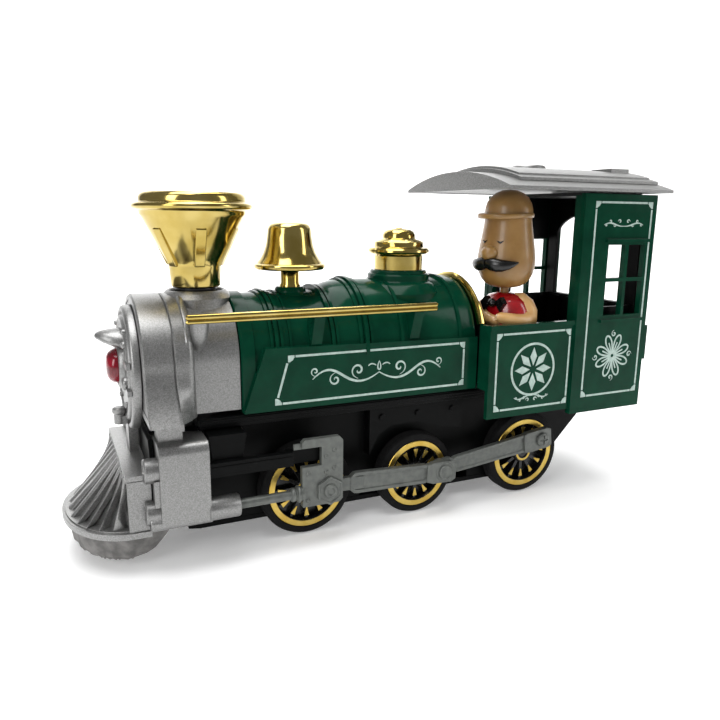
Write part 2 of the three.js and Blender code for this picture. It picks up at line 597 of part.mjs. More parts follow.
function cabLiner() {
  let body = box(59, 112.8, -19.8, 19.8, 39.1, 40.3);
  const wall = box(111.6, 112.8, -21.6, 21.6, 39.8, 60.2);
  const bench = box(98, 112, -19.5, 19.5, 40, 49);
  body = add(body, wall, bench);
  for (const s of [-1, 1]) {
    const edge = s * 20.9;
    body = add(body, box(88.4, 112.4, Math.min(edge, s * 19.6), Math.max(edge, s * 19.6), 39.5, 60.6));
    for (let i = 0; i < 4; i++) {
      const x = 90 + 5.6 * i;
      body = add(body, box(x, x + 2.4, Math.min(s * 19.2, s * 20), Math.max(s * 19.2, s * 20), 48.4, 60));
    }
  }
  for (let i = 0; i < 6; i++) body = add(body, box(111, 111.8, -17 + 6 * i, -14.6 + 6 * i, 48.4, 60));
  return body;
}

function roofArc(w, zEdge, zCrown, n) {
  const rise = zCrown - zEdge;
  const r = (w * w + rise * rise) / (2 * rise);
  const out = [];
  const half = Math.asin(w / r);
  for (let i = 0; i <= n; i++) {
    const a = -half + (2 * half * i) / n;
    out.push([r * Math.sin(a), zCrown - r + r * Math.cos(a)]);
  }
  return out;
}

function cabRoof() {
  const { x0, x1, w, edge, crown } = ROOF;
  const skin = [...roofArc(w, edge + 1.2, crown, 12), [w, edge], [-w, edge]];
  let body = prismX(skin, x0, x1);
  const under = [...roofArc(w - 2, edge + 0.9, crown - 1.5, 10), [w - 2, edge - 1], [-w + 2, edge - 1]];
  body = cut(body, prismX(under, x0 + 1.8, x1 - 1.8));
  const raised = [...roofArc(20, 100.2, crown + 0.8, 10), [20, 99.6], [-20, 99.6]];
  body = add(body, prismX(raised, x0 + 13, x1 - 0.6).subtract(prismX(under, 0, 200)));
  const ring = latheZ([[3.6, 102.6], [5.6, 102.6], [5.6, 104.4], [5, 104.8], [4.2, 104.8], [3.6, 104.2], [3.6, 102.6]], 83, 0, 28);
  const bumps = [];
  for (const s of [-1, 1]) bumps.push(box(107, 113.6, Math.min(s * 4, s * 13), Math.max(s * 4, s * 13), 101.3, 103.9));
  const seams = [0].map((i) => box(63 + 14 * i, 64 + 14 * i, -27.6, 27.6, 0, 200));
  const rimmed = [...roofArc(w - 1.3, edge + 1.9, crown + 0.4, 12), [w - 1.3, edge + 0.6], [-w + 1.3, edge + 0.6]];
  const battens = seams.map((s) => s.intersect(prismX(rimmed, x0, x1)).subtract(prismX(under, 0, 200)));
  return add(body, ...battens, ring, ...bumps);
}

// ---- driver ----
function driverBody() {
  const { x, y } = DRIVER;
  const torso = [];
  for (const [z, a, b] of [[40.6, 5.5, 5], [48, 7, 5.6], [56, 8.4, 6.2], [61, 8.8, 5.8], [64, 6, 4.4], [65.4, 2.6, 2.6]]) {
    torso.push(circle(0, 0, 1, 20).map(([c, s]) => [x + a * c, y + b * s, z]));
  }
  const body = loft(torso, 2);
  const neck = cylZ(x, y, 65, 70, 1.4, 16);
  const arm = tube([[x + 8, y, 61], [x + 9.6, y - 3, 58.6], [x + 5, y - 7.2, 59.2], [x - 3.5, y - 7.9, 60]], 2.1, 8, 16);
  const far = tube([[x - 7.6, y, 61], [x - 9.4, y - 3, 60.6], [x - 6, y - 6.6, 61.2], [x + 1, y - 7.4, 62.6]], 2.0, 8, 16);
  return add(body, neck, arm, far);
}

function driverHead() {
  const { x, y } = DRIVER;
  const rings = [[67.8, 3.4], [68.6, 5.6], [71, 7.6], [75, 8.7], [80, 9], [85, 8.6], [88.3, 8]];
  const loops = rings.map(([z, r]) => circle(0, 0, 1, 24).map(([c, s]) => [x + r * c, y + r * 0.94 * s, z]));
  const skull = loft(loops, 2);
  const nose = solid(new THREE.SphereGeometry(2.5, 10, 7).scale(1, 1, 0.8).translate(x - 7.4, y - 5.4, 77.6));
  const ear = (dx, dy) => solid(new THREE.SphereGeometry(1.9, 8, 6).scale(0.7, 0.7, 1.2).translate(x + dx, y + dy, 78));
  const socket = cylZ(x, y, 60, 71.5, 2.4, 16);
  return cut(add(skull, nose, ear(4.6, -7), ear(-4.6, 7.2)), socket);
}

function driverCap() {
  const { x, y } = DRIVER;
  const loops = [[88.6, 8.8, 8.4], [90.2, 9.1, 8.7], [92.6, 8.9, 8.4], [94.4, 7.2, 6.8], [95.2, 4.2, 4]];
  const dome = loft(loops.map(([z, a, b]) => circle(0, 0, 1, 24).map(([c, s]) => [x + a * c, y + b * s, z])), 2);
  const peak = circle(0, 0, 1, 24).map(([c, s]) => [x - 3.4 + 8.6 * c, y - 2.2 + 8 * s]);
  return add(dome, prismZ(peak, 88.6, 89.6));
}

// ---- motor ----
function involute(teeth, backlash) {
  const pitch = (GEAR_M * teeth) / 2;
  const base = pitch * Math.cos((20 * Math.PI) / 180);
  const tip = pitch + 0.9 * GEAR_M;
  const root = pitch - 1.15 * GEAR_M;
  const inv = (r) => {
    const t = Math.sqrt(Math.max(0, (r / base) ** 2 - 1));
    return t - Math.atan(t);
  };
  const half = Math.PI / (2 * teeth) - backlash / (2 * pitch) + inv(pitch);
  const points = [];
  for (let i = 0; i < teeth; i++) {
    const mid = (2 * Math.PI * i) / teeth;
    const flank = [[root, half], [pitch, half - inv(pitch)], [tip, half - inv(tip)]];
    for (const [r, a] of flank) points.push([r, mid - a]);
    for (const [r, a] of flank.reverse()) points.push([r, mid + a]);
  }
  return points;
}

function gear(center, teeth, y0, y1, phase, bore) {
  const outline = involute(teeth, 0.2).map(([r, a]) => [
    center[0] + r * Math.cos(a + phase), center[1] + r * Math.sin(a + phase)]);
  const hub = cylY(center[0], center[1], y0 - 1.2, y1 + 1.2, bore + 1.3, 20);
  const body = add(prismY(outline, y0, y1), hub);
  return cut(body, cylY(center[0], center[1], -20, 20, bore, 24));
}

function lineAngle() {
  return Math.atan2(GEAR_C[1] - WHEEL_R[2], GEAR_C[0] - AXLE_X[2]);
}

function mainspring() {
  const turns = 4.5;
  const steps = 40;
  const outer = [];
  const inner = [];
  for (let i = 0; i <= steps; i++) {
    const a = (2 * Math.PI * turns * i) / steps;
    const r = 2.4 + (7 * i) / steps;
    outer.push([GEAR_C[0] + (r + 0.2) * Math.cos(a), GEAR_C[1] + (r + 0.2) * Math.sin(a)]);
    inner.push([GEAR_C[0] + (r - 0.2) * Math.cos(a), GEAR_C[1] + (r - 0.2) * Math.sin(a)]);
  }
  return prismY([...outer, ...inner.reverse()], 0.8, 4.8);
}

function motorCase() {
  const [x0, x1, z0, z1] = [49.4, 81, 7.2, 31.6];
  const plate = prismY([[x0, z0 + 3], [x0 + 3, z0], [x1, z0], [x1, 20], [72, z1], [x0 + 3, z1], [x0, z1 - 3]], -8.6, -7.4);
  const posts = [[52, 28.6], [52, 10.6], [68.5, 8.8]].map(([x, z]) => cylY(x, z, -7.5, 7.5, 1.4, 12));
  let body = add(plate, mirrorY(plate), ...posts);
  body = cut(body, cylY(AXLE_X[2], WHEEL_R[2], -20, 20, 2, 24), cylY(...GEAR_C, -20, 20, 1.75, 24));
  return body;
}

function arbor() {
  return add(cylY(...GEAR_C, -9, 9, 1.5, 24), cylY(...GEAR_C, 0.8, 4.8, 1.9, 24));
}

// ---- build ----
keep('base_frame', baseFrame(), ...BLACK);
keep('base_plate', basePlate(), ...BLACK);
keep('footplate', footplate(), ...BLACK);
keepPair('slide_bar', slideBar(), ...BLACK);
keepPair('cylinder_block', cylinderBlock(), ...SILVER);
keep('cowcatcher', cowcatcher(), ...SILVER);
keep('pilot_skirt', pilotSkirt(), 0x55565a, 0.7, 0);
keep('smokebox', smokebox(), ...SILVER);
keep('smokebox_front', smokeboxFront(), ...SILVER);
keep('headlamp_lens', headlampLens(), 0xb01030, 0.15, 0);
keep('stack', stack(), ...GOLD);
keep('stack_spring', coil(STACK_X, 0, 52.9, 58.6, 5, 0.35, 4), ...STEEL);
keep('sound_box', add(box(-36, -15, -9.5, 9.5, 40.4, 52), cylZ(STACK_X, 0, 51.8, 52.5, 7.5, 28)), ...NYLON);
keep('boiler_shell', boilerShell(), ...GREEN);
keepPair('handrail', handrail(), ...GOLD);
keep('backhead_ring', backheadRing(), ...GOLD);
keep('backhead', backhead(), ...BLACK);
keep('bell', bell(), ...GOLD);
keep('dome_cap', domeCap(), ...GOLD);
keep('cab_shell', cabShell(), ...GREEN);
keep('cab_liner', cabLiner(), ...BLACK);
keep('cab_roof', cabRoof(), ...SILVER);
keep('driver_body', driverBody(), 0x9c1f1c, 0.5, 0);
keep('driver_head', driverHead(), 0x8f6b3f, 0.45, 0);
keep('driver_cap', driverCap(), 0x9a7446, 0.5, 0);
keepPair('crosshead', crosshead(), ...ROD);
keepPair('main_rod', mainRod(), ...ROD);
keepPair('mid_pin', midPin(), ...STEEL);
keepPair('side_rod', sideRod(), ...ROD);
keepPair('crank_screw', crankScrew(), ...STEEL);
['front', 'middle', 'rear'].forEach((name, index) => {
  keep(`axle_${name}`, axle(index), ...STEEL);
  keepPair(`wheel_${name}`, wheel(index), ...BLACK);
  keepPair(`tyre_${name}`, tyre(index), 0x0c0c0d, 0.8, 0);
});
const meshPhase = lineAngle();
keep('drive_pinion', gear([AXLE_X[2], WHEEL_R[2]], PINION_T, -4.5, -1.5, meshPhase, AXLE_R + 0.04), ...NYLON);
keep('spring_gear', gear(GEAR_C, SPRING_T, -4.5, -1.5, meshPhase + Math.PI + Math.PI / SPRING_T, 1.54), ...NYLON);
keep('spring_arbor', arbor(), ...STEEL);
keep('mainspring', mainspring(), ...STEEL);
keep('motor_case', motorCase(), ...NYLON);
keep('body_screw', add(cylZ(-22, 0, 3.4, 4.1, 2.4, 20), cylZ(-22, 0, 4, 14, 1.2, 16)), ...STEEL);

// ---- hand over, with the bounding box standing on the origin ----
function toMesh({ name, body, colour, roughness, metalness }) {
  const mesh = body.getMesh();
  const flat = new Float32Array(mesh.triVerts.length * 3);
  mesh.triVerts.forEach((v, i) => {
    for (let k = 0; k < 3; k++) flat[3 * i + k] = mesh.vertProperties[v * mesh.numProp + k];
  });
  const g = new THREE.BufferGeometry();
  g.setAttribute('position', new THREE.Float32BufferAttribute(flat, 3));
  g.computeVertexNormals();
  const out = new THREE.Mesh(g, new THREE.MeshStandardMaterial({ color: colour, roughness, metalness }));
  out.name = name;
  return out;
}

const group = new THREE.Group();
for (const node of nodes) group.add(toMesh(node));
const bounds = new THREE.Box3().setFromObject(group);
const middle = bounds.getCenter(new THREE.Vector3());
for (const mesh of group.children) mesh.geometry.translate(-middle.x, -middle.y, -bounds.min.z);

export default group;
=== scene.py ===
# %% [markdown]
# # A toy steam locomotive, dressed piece by piece
#
# The locomotive is a small die-cast and plastic pull-back toy: silver smokebox and roof, dark green
# boiler and cab, bright gold fittings and a driver who leans on the cab side. The moving skeleton is
# already made. This lesson loads it and gives every piece its real shape, edges and finish.
#
# Everything is in metres, in the skeleton's own frame: the front looks along -X, +Z is up, and the
# ground is at height 0. Pieces are drawn in millimetres from the front axle, which reads more easily,
# and one function turns such a point into the frame.

# %% Load the skeleton
import json
import math

import bmesh
import bpy
from mathutils import Matrix, Vector

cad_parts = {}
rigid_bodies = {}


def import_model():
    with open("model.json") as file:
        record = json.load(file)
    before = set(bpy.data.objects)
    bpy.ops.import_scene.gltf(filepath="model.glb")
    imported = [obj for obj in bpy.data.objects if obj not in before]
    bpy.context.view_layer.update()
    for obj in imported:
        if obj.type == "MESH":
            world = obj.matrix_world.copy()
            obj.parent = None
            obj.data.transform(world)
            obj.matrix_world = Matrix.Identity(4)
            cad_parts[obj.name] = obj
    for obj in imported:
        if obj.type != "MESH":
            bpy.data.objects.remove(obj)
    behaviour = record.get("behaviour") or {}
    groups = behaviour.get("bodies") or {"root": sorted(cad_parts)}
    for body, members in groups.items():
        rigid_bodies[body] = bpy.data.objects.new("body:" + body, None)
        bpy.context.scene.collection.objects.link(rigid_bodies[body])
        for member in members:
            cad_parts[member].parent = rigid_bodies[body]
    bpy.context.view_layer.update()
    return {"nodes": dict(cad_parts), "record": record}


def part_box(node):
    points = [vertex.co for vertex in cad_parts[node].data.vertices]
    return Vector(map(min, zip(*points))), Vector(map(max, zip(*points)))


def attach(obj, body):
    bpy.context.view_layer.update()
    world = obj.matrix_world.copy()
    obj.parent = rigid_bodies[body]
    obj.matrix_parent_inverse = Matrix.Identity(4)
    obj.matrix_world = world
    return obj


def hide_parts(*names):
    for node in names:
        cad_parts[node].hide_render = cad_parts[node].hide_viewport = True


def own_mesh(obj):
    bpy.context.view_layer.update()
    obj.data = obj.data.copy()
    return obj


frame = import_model()
BODY_OF = {node: body for body, nodes in frame["record"]["behaviour"]["bodies"].items() for node in nodes}


def middle(node):
    low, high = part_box(node)
    return (Vector(low) + Vector(high)) / 2


AXLE = middle("axle_front")


def at(x, y, z):
    """A point in mm, x from the front axle, y from the centre line, z from the ground."""
    return Vector((AXLE.x + x / 1000, y / 1000, z / 1000))


def mm(node):
    """A node's low and high corner in mm from the front axle, the centre line and the ground."""
    low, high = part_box(node)
    return [((p[0] - AXLE.x) * 1000, p[1] * 1000, p[2] * 1000) for p in (low, high)]


print("wheelbase", round((middle("axle_rear").x - AXLE.x) * 1000, 2), "mm")

# %% [markdown]
# ## Camera, floor and light
#
# The toy is small, so the camera stands close, about 20 cm off, a little below the roof line and in
# front of the left side. Three angles turn it: round the upright, downwards, and a small roll.

# %% Camera
EYE = (-62.2, -183.75, 88.95)
camera = bpy.data.objects.new("camera", bpy.data.cameras.new("camera"))
bpy.context.collection.objects.link(camera)
camera.data.lens = 33.8
camera.data.sensor_width = 36
camera.data.clip_start = 0.01
turn, down, roll = (math.radians(a) for a in (-25.0, 12.2, 0.64))
ahead = Vector((-math.sin(turn) * math.cos(down), math.cos(turn) * math.cos(down), -math.sin(down)))
side = Vector((math.cos(turn), math.sin(turn), 0))
over = side.cross(ahead)
right = side * math.cos(roll) + over * math.sin(roll)
up = over * math.cos(roll) - side * math.sin(roll)
camera.matrix_world = Matrix.Translation(at(*EYE)) @ Matrix((right, up,
    -ahead)).transposed().to_4x4()
bpy.context.scene.camera = camera
print("camera height", EYE[2], "mm")

# %% [markdown]
# The toy stands on a sheet of paper that curves up behind it. The side view of the sheet is one
# line of points, which is drawn out sideways.

# %% Floor and backdrop
def plain(name, mesh):
    obj = bpy.data.objects.new(name, mesh)
    bpy.context.collection.objects.link(obj)
    return obj


bm = bmesh.new()
edge = [bm.verts.new(p) for p in ((0, -1.6, 0), (0, 0.9, 0), (0, 1.12, 0.03), (0, 1.28, 0.13),
    (0, 1.34, 0.3), (0, 1.34, 1.6))]
line = [bm.edges.new(pair) for pair in zip(edge, edge[1:])]
made = bmesh.ops.extrude_edge_only(bm, edges=line)["geom"]
bmesh.ops.translate(bm, vec=(3.6, 0, 0), verts=[v for v in made if isinstance(v,
    bmesh.types.BMVert)])
bmesh.ops.translate(bm, vec=(-1.8, 0, -0.0002), verts=bm.verts)
bmesh.ops.rotate(bm, matrix=Matrix.Rotation(turn, 3, "Z"), verts=bm.verts)
sweep = bpy.data.meshes.new("floor")
bm.to_mesh(sweep)
bm.free()
floor = plain("floor", sweep)
for face in sweep.polygons:
    face.use_smooth = True
print("floor and backdrop:", len(sweep.polygons), "strips")


# %% [markdown]
# Gold plating only looks like gold when it has something dark and something bright to mirror. So
# the room is dim, and three large lamps make long highlights. A fourth one lights the backdrop.

# %% Lamps
def lamp(name, place, aim, size, power):
    data = bpy.data.lights.new(name, "AREA")
    data.shape = "RECTANGLE"
    data.size, data.size_y = size
    data.energy = power
    obj = plain(name, data)
    obj.location = place
    obj.rotation_euler = (Vector(aim) - Vector(place)).to_track_quat("-Z", "Y").to_euler()
    print(name, power, "W")


lamp("top_lamp", (-0.05, 0.05, 0.75), (0.0, 0.0, 0.0), (0.8, 0.45), 7.0)
lamp("left_lamp", (-0.75, -0.45, 0.42), (0.0, 0.0, 0.05), (0.3, 0.6), 3.2)
lamp("right_lamp", (0.72, -0.5, 0.4), (0.02, 0.0, 0.05), (0.2, 0.6), 1.6)
lamp("backdrop_lamp", (-0.1, 0.75, 0.9), (0.35, 1.5, 0.15), (1.6, 0.5), 20)
world = bpy.data.worlds.new("room")
bpy.context.scene.world = world
world.use_nodes = True
world.node_tree.nodes["Background"].inputs["Color"].default_value = (1, 1, 1, 1)
world.node_tree.nodes["Background"].inputs["Strength"].default_value = 0.24
bpy.context.scene.view_settings.view_transform = "Standard"
bpy.context.scene.view_settings.exposure = 0.0

# %% [markdown]
# ## Finishes
#
# A finish is a small network of nodes. One function turns a hex colour to linear light, one adds a
# node with its settings and links. Patterns read Object coordinates, which are metres, so a flake
# of 0.22 mm is a scale of 1/0.00022.

# %% Helpers for finishes
def srgb(code):
    values = [int(code[i:i + 2], 16) / 255 for i in (1, 3, 5)]
    return tuple(v / 12.92 if v <= 0.04045 else ((v + 0.055) / 1.055) ** 2.4 for v in values) + (1.0,)


def node(tree, kind, links=None, inputs=None, **settings):
    made = tree.nodes.new(kind)
    for key, value in settings.items():
        setattr(made, key, value)
    for key, value in (inputs or {}).items():
        made.inputs[key].default_value = value
    for key, source in (links or {}).items():
        tree.links.new(source, made.inputs[key])
    return made


def per_mm(size):
    """Texture scale for a pattern whose cells are this many millimetres wide."""
    return 1000 / size


def finish(name, base, shader, bump=None):
    """A material whose Principled shader starts from base; shader and bump add the pattern."""
    material = bpy.data.materials.new(name)
    material.use_nodes = True
    tree = material.node_tree
    body = tree.nodes["Principled BSDF"]
    place = node(tree, "ShaderNodeTexCoord").outputs["Object"]
    for key, value in base.items():
        body.inputs[key].default_value = value
    shader(tree, body, place)
    if bump:
        size, distance, detail = bump
        grain = node(tree, "ShaderNodeTexNoise", {"Vector": place},
            {"Scale": per_mm(size), "Detail": detail})
        rise = node(tree, "ShaderNodeBump", {"Height": grain.outputs["Fac"]},
            {"Distance": distance / 1000, "Strength": 0.5})
        tree.links.new(rise.outputs["Normal"], body.inputs["Normal"])
    print("finish", name)
    return material


def mottled(dark, light, size, rough=None, softness=(0.35, 0.65)):
    """Colour that drifts between two shades, and roughness that drifts with it."""
    def build(tree, body, place):
        cloud = node(tree, "ShaderNodeTexNoise", {"Vector": place},
            {"Scale": per_mm(size), "Detail": 3.0})
        ramp = node(tree, "ShaderNodeValToRGB", {"Fac": cloud.outputs["Fac"]})
        for stop, position, colour in zip(ramp.color_ramp.elements, softness, (dark, light)):
            stop.position = position
            stop.color = srgb(colour)
        tree.links.new(ramp.outputs["Color"], body.inputs["Base Color"])
        if rough:
            spread = node(tree, "ShaderNodeMapRange", {"Value": cloud.outputs["Fac"]},
                {"To Min": rough[0], "To Max": rough[1]})
            tree.links.new(spread.outputs["Result"], body.inputs["Roughness"])
    return build


# %% [markdown]
# **Silver spray lacquer.** The castings and roof carry a silver lacquer full of aluminium flakes.
# Under a lamp it sparkles: every flake is a tiny mirror at its own tilt. Real flakes are 0.05 mm,
# too fine to show, so they are drawn 0.22 mm wide.

# %% Silver lacquer
def flakes(tree, body, place):
    cells = node(tree, "ShaderNodeTexVoronoi", {"Vector": place}, {"Scale": per_mm(0.22)})
    shade = node(tree, "ShaderNodeValToRGB", {"Fac": cells.outputs["Color"]})
    for stop, position, colour in zip(shade.color_ramp.elements, (0.1, 0.9),
        ("#7b7b7a", "#9a9a99")):
        stop.position = position
        stop.color = srgb(colour)
    tree.links.new(shade.outputs["Color"], body.inputs["Base Color"])
    gloss = node(tree, "ShaderNodeMapRange", {"Value": cells.outputs["Color"]},
        {"To Min": 0.33, "To Max": 0.42})
    tree.links.new(gloss.outputs["Result"], body.inputs["Roughness"])
    tilt = node(tree, "ShaderNodeBump", {"Height": cells.outputs["Color"]},
        {"Distance": 0.00001, "Strength": 0.11})
    tree.links.new(tilt.outputs["Normal"], body.inputs["Normal"])


SILVER = finish("silver_flake_lacquer", {"Metallic": 0.82, "Specular IOR Level": 0.4}, flakes)

# %% [markdown]
# **Green gloss lacquer.** Thick gloss paint: almost black green, with the faint waviness called
# orange peel, about 2 mm across.

# %% Green lacquer
GREEN = finish("green_gloss_lacquer", {"Specular IOR Level": 0.09},
               mottled("#043021", "#063a28", 7, (0.12, 0.18)), (2.2, 0.05, 2.0))

# %% [markdown]
# **Gold vacuum plating, black and grey mouldings, and the rest.** Plated plastic mirrors like metal
# but ripples slightly because the moulding under it does. The black chassis is satin polypropylene
# with a faint moulded grain. The rods are a grey nylon with a touch of metal powder.

# %% The other finishes
GOLD = finish("gold_vacuum_plate", {"Metallic": 1.0, "Roughness": 0.13},
              mottled("#ae9850", "#c3af6c", 8, (0.1, 0.17)), (3.5, 0.05, 1.5))
GOLD_FOIL = finish("gold_hot_foil", {"Metallic": 0.9, "Roughness": 0.28},
                   mottled("#c0a049", "#ccb15e", 3, (0.26, 0.36)), (0.6, 0.006, 2.0))
BLACK = finish("black_moulded_polypropylene", {"Specular IOR Level": 0.09},
               mottled("#050606", "#0a0b0b", 5, (0.36, 0.5)), (0.5, 0.012, 3.0))
BLACK_GLOSS = finish("black_gloss_abs", {"Roughness": 0.25}, mottled("#080808", "#101111", 4,
    (0.2, 0.32)), (1.2, 0.01, 2.0))
PRINT = finish("pale_pad_print_ink", {"Roughness": 0.5}, mottled("#9db4ab", "#b9cbc3", 1.2,
    (0.45, 0.6)), (0.3, 0.005, 2.0))
GREY = finish("grey_metal_filled_nylon", {"Roughness": 0.42, "Metallic": 0.35},
              mottled("#585b58", "#666965", 1.6, (0.38, 0.48)), (0.5, 0.008, 3.0))
SKIRT = finish("grey_rough_moulding", {"Roughness": 0.75}, mottled("#5a5957", "#797775", 2.5,
    (0.65, 0.85)), (1.0, 0.15, 4.0))
RUBBER = finish("black_tyre_rubber", {"Roughness": 0.8, "Specular IOR Level": 0.2},
    mottled("#080808", "#121212", 1.5, (0.7, 0.9)), (0.4, 0.02, 3.0))
STEEL = finish("plain_turned_steel", {"Metallic": 1.0, "Roughness": 0.3},
    mottled("#8b8d8f", "#b4b6b8", 1.0, (0.22, 0.4)), (0.3, 0.01, 2.0))
NYLON = finish("natural_nylon", {"Roughness": 0.5, "Subsurface Weight": 0.1},
    mottled("#d9d3c2", "#ece7da", 5, (0.42, 0.58)), (0.8, 0.01, 2.0))
LENS = finish("red_clear_styrene", {"Roughness": 0.08, "Transmission Weight": 0.25, "IOR": 1.55},
              mottled("#6e0418", "#a40c2a", 3), (1.5, 0.02, 1.0))
SKIN = finish("tan_painted_vinyl", {"Roughness": 0.4, "Subsurface Weight": 0.05,
    "Coat Weight": 0.2},
              mottled("#83602f", "#93703f", 6, (0.34, 0.46)), (1.2, 0.015, 2.0))
SKIN_PALE = finish("light_tan_painted_vinyl", {"Roughness": 0.35, "Subsurface Weight": 0.05,
    "Coat Weight": 0.3},
                   mottled("#cf9d5f", "#dcae74", 5, (0.3, 0.42)), (1.2, 0.015, 2.0))
RED = finish("red_painted_vinyl", {"Roughness": 0.25, "Coat Weight": 0.6, "Coat Roughness": 0.08},
             mottled("#8e0410", "#a80b18", 4), (1.2, 0.015, 2.0))


# %% [markdown]
# ** White paper.** The sheet is palest under and behind the toy. Towards the front it is greyed by
# painted shade, standing for the shade near the camera, where gloss and gold find something darker
# to mirror. A faint glow, painted light, keeps the shadows soft.

# %% Paper sweep
def paper(tree, body, place):
    """White paper with a faint fibre grain, painted shade towards the front and a faint painted glow."""
    turn_it = node(tree, "ShaderNodeMapping", {"Vector": place}, {"Rotation": (0, 0, -turn)})
    apart = node(tree, "ShaderNodeSeparateXYZ", {"Vector": turn_it.outputs["Vector"]})
    fibre = node(tree, "ShaderNodeTexNoise", {"Vector": place},
        {"Scale": per_mm(40), "Detail": 3.0})
    # Painted shade: the paper is darkened towards the camera side, standing for the shade that falls there.
    front_painted_shade = node(tree, "ShaderNodeMapRange", {"Value": apart.outputs["Y"]},
                {"From Min": NEAR - 0.2, "From Max": NEAR, "To Min": 0.6, "To Max": 0.9},
                interpolation_type="SMOOTHSTEP")
    grain = node(tree, "ShaderNodeMapRange", {"Value": fibre.outputs["Fac"]},
        {"To Min": 0.985, "To Max": 1.0})
    grain_and_painted_shade = node(tree, "ShaderNodeMath", {0: front_painted_shade.outputs["Result"], 1: grain.outputs["Result"]}, {},
        operation="MULTIPLY")
    tree.links.new(grain_and_painted_shade.outputs["Value"], body.inputs["Base Color"])
    # Painted light: the paper glows a little where it is palest, like a fill lamp, to soften the shadows.
    painted_glow_strength = node(tree, "ShaderNodeMath", {0: front_painted_shade.outputs["Result"]}, {1: 0.24},
        operation="MULTIPLY")
    body.inputs["Emission Color"].default_value = (1, 1, 1, 1)
    tree.links.new(painted_glow_strength.outputs["Value"], body.inputs["Emission Strength"])


LEVEL = Vector((ahead.x, ahead.y, 0)).normalized()
NEAR = (at(EYE[0], EYE[1], 0) + LEVEL * 0.1).dot(LEVEL)
FLOOR = finish("white_paper_sweep", {"Roughness": 0.7, "Specular IOR Level": 0.1}, paper)
sweep.materials.append(FLOOR)
print("the paper is palest from", round(-NEAR * 1000), "mm in front of the middle")


# %% [markdown]
# ## Tools for shapes
#
# Nearly everything here is turned, moulded round an outline, or drawn out between outlines. Four
# main helpers cover that: `turned` spins a profile, `slab` gives an outline a thickness, `skin`
# bridges a row of outlines, and `rod` lays a bar between two points. `piece` finishes a mesh: it
# bevels the edges, because no moulded edge is sharp, and hangs the piece on its body.

# %% Shape helpers
def around(count):
    """Evenly spaced angles for one full turn."""
    return [2 * math.pi * i / count for i in range(count)]


def brick(bm, low, high):
    low, high = at(*low), at(*high)
    matrix = Matrix.Translation((low + high) / 2) @ Matrix.Diagonal([*(high - low), 1])
    return bmesh.ops.create_cube(bm, size=1, matrix=matrix)["verts"]


def rod(bm, start, end, radius, segments):
    a, b = at(*start), at(*end)
    spin = (b - a).to_track_quat("Z", "Y").to_matrix().to_4x4()
    return bmesh.ops.create_cone(
        bm, cap_ends=True, segments=segments, radius1=radius / 1000,
        radius2=radius / 1000, depth=(b - a).length,
        matrix=Matrix.Translation((a + b) / 2) @ spin)["verts"]


TURN = {"X": Matrix.Rotation(math.radians(90), 3, "Y"), "Y": Matrix.Rotation(math.radians(-90), 3,
    "X"), "Z": Matrix.Identity(3)}


def turned(bm, profile, centre, axis="Z", steps=96, material=0):
    """Spins (radius, height) pairs about an axis through centre; heights are mm along that axis."""
    verts = [bm.verts.new((r / 1000, 0, h / 1000)) for r, h in profile]
    edges = [bm.edges.new(pair) for pair in zip(verts, verts[1:])]
    before = set(bm.faces)
    bmesh.ops.spin(bm, geom=verts + edges, axis=(0, 0, 1), cent=(0, 0, 0), angle=2 * math.pi,
        steps=steps, use_merge=True)
    faces = [f for f in bm.faces if f not in before]
    made = list({v for f in faces for v in f.verts})
    bmesh.ops.remove_doubles(bm, verts=made, dist=1e-6)
    faces = [f for f in bm.faces if f not in before]
    made = list({v for f in faces for v in f.verts})
    bmesh.ops.transform(bm, matrix=Matrix.Translation(at(*centre)) @ TURN[axis].to_4x4(),
        verts=made)
    bmesh.ops.recalc_face_normals(bm, faces=faces)
    for face in faces:
        face.material_index = material
    return made


def slab(bm, outline, axis, low, high):
    """A flat outline given a thickness. Its two numbers are the axes left when `axis` is taken out."""
    def place(u, v, w):
        return at(*{"X": (w, u, v), "Y": (u, w, v), "Z": (u, v, w)}[axis])
    face = bm.faces.new([bm.verts.new(place(u, v, low)) for u, v in outline])
    made = bmesh.ops.extrude_face_region(bm, geom=[face])["geom"]
    verts = [v for v in made if isinstance(v, bmesh.types.BMVert)]
    bmesh.ops.translate(bm, vec=place(0, 0, high) - place(0, 0, low), verts=verts)
    everything = {f for v in verts for f in v.link_faces} | {face}
    bmesh.ops.recalc_face_normals(bm, faces=list(everything))
    return list({v for f in everything for v in f.verts})


def skin(bm, loops, material=0):
    """Bridges closed loops of points in mm and closes both ends."""
    before = set(bm.faces)
    rings = []
    for loop in loops:
        verts = [bm.verts.new(at(*p)) for p in loop]
        rings.append([bm.edges.new((verts[i],
            verts[(i + 1) % len(verts)])) for i in range(len(verts))])
    for a, b in zip(rings, rings[1:]):
        bmesh.ops.bridge_loops(bm, edges=a + b)
    for ring in (rings[0], rings[-1]):
        bmesh.ops.contextual_create(bm, geom=ring)
    faces = [f for f in bm.faces if f not in before]
    bmesh.ops.recalc_face_normals(bm, faces=faces)
    for face in faces:
        face.material_index = material
    return list({v for f in faces for v in f.verts})


PIECES = {}


def piece(name, bm, body, materials, slot, replaces=(), bevel=0.2, angle=32, segments=2):
    mesh = bpy.data.meshes.new(name)
    bm.to_mesh(mesh)
    bm.free()
    obj = plain(name, mesh)
    for material in materials:
        mesh.materials.append(material)
    mesh.shade_smooth()
    mesh.set_sharp_from_angle(angle=math.radians(angle))
    if bevel:
        edge = obj.modifiers.new("edge", "BEVEL")
        edge.width = bevel / 1000
        edge.segments = segments
        edge.limit_method = "ANGLE"
        edge.angle_limit = math.radians(angle)
        edge.harden_normals = True
    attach(obj, body)
    if replaces:
        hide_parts(*replaces)
    PIECES[name] = obj
    print(name, "on", body, "with", len(mesh.polygons), "faces")


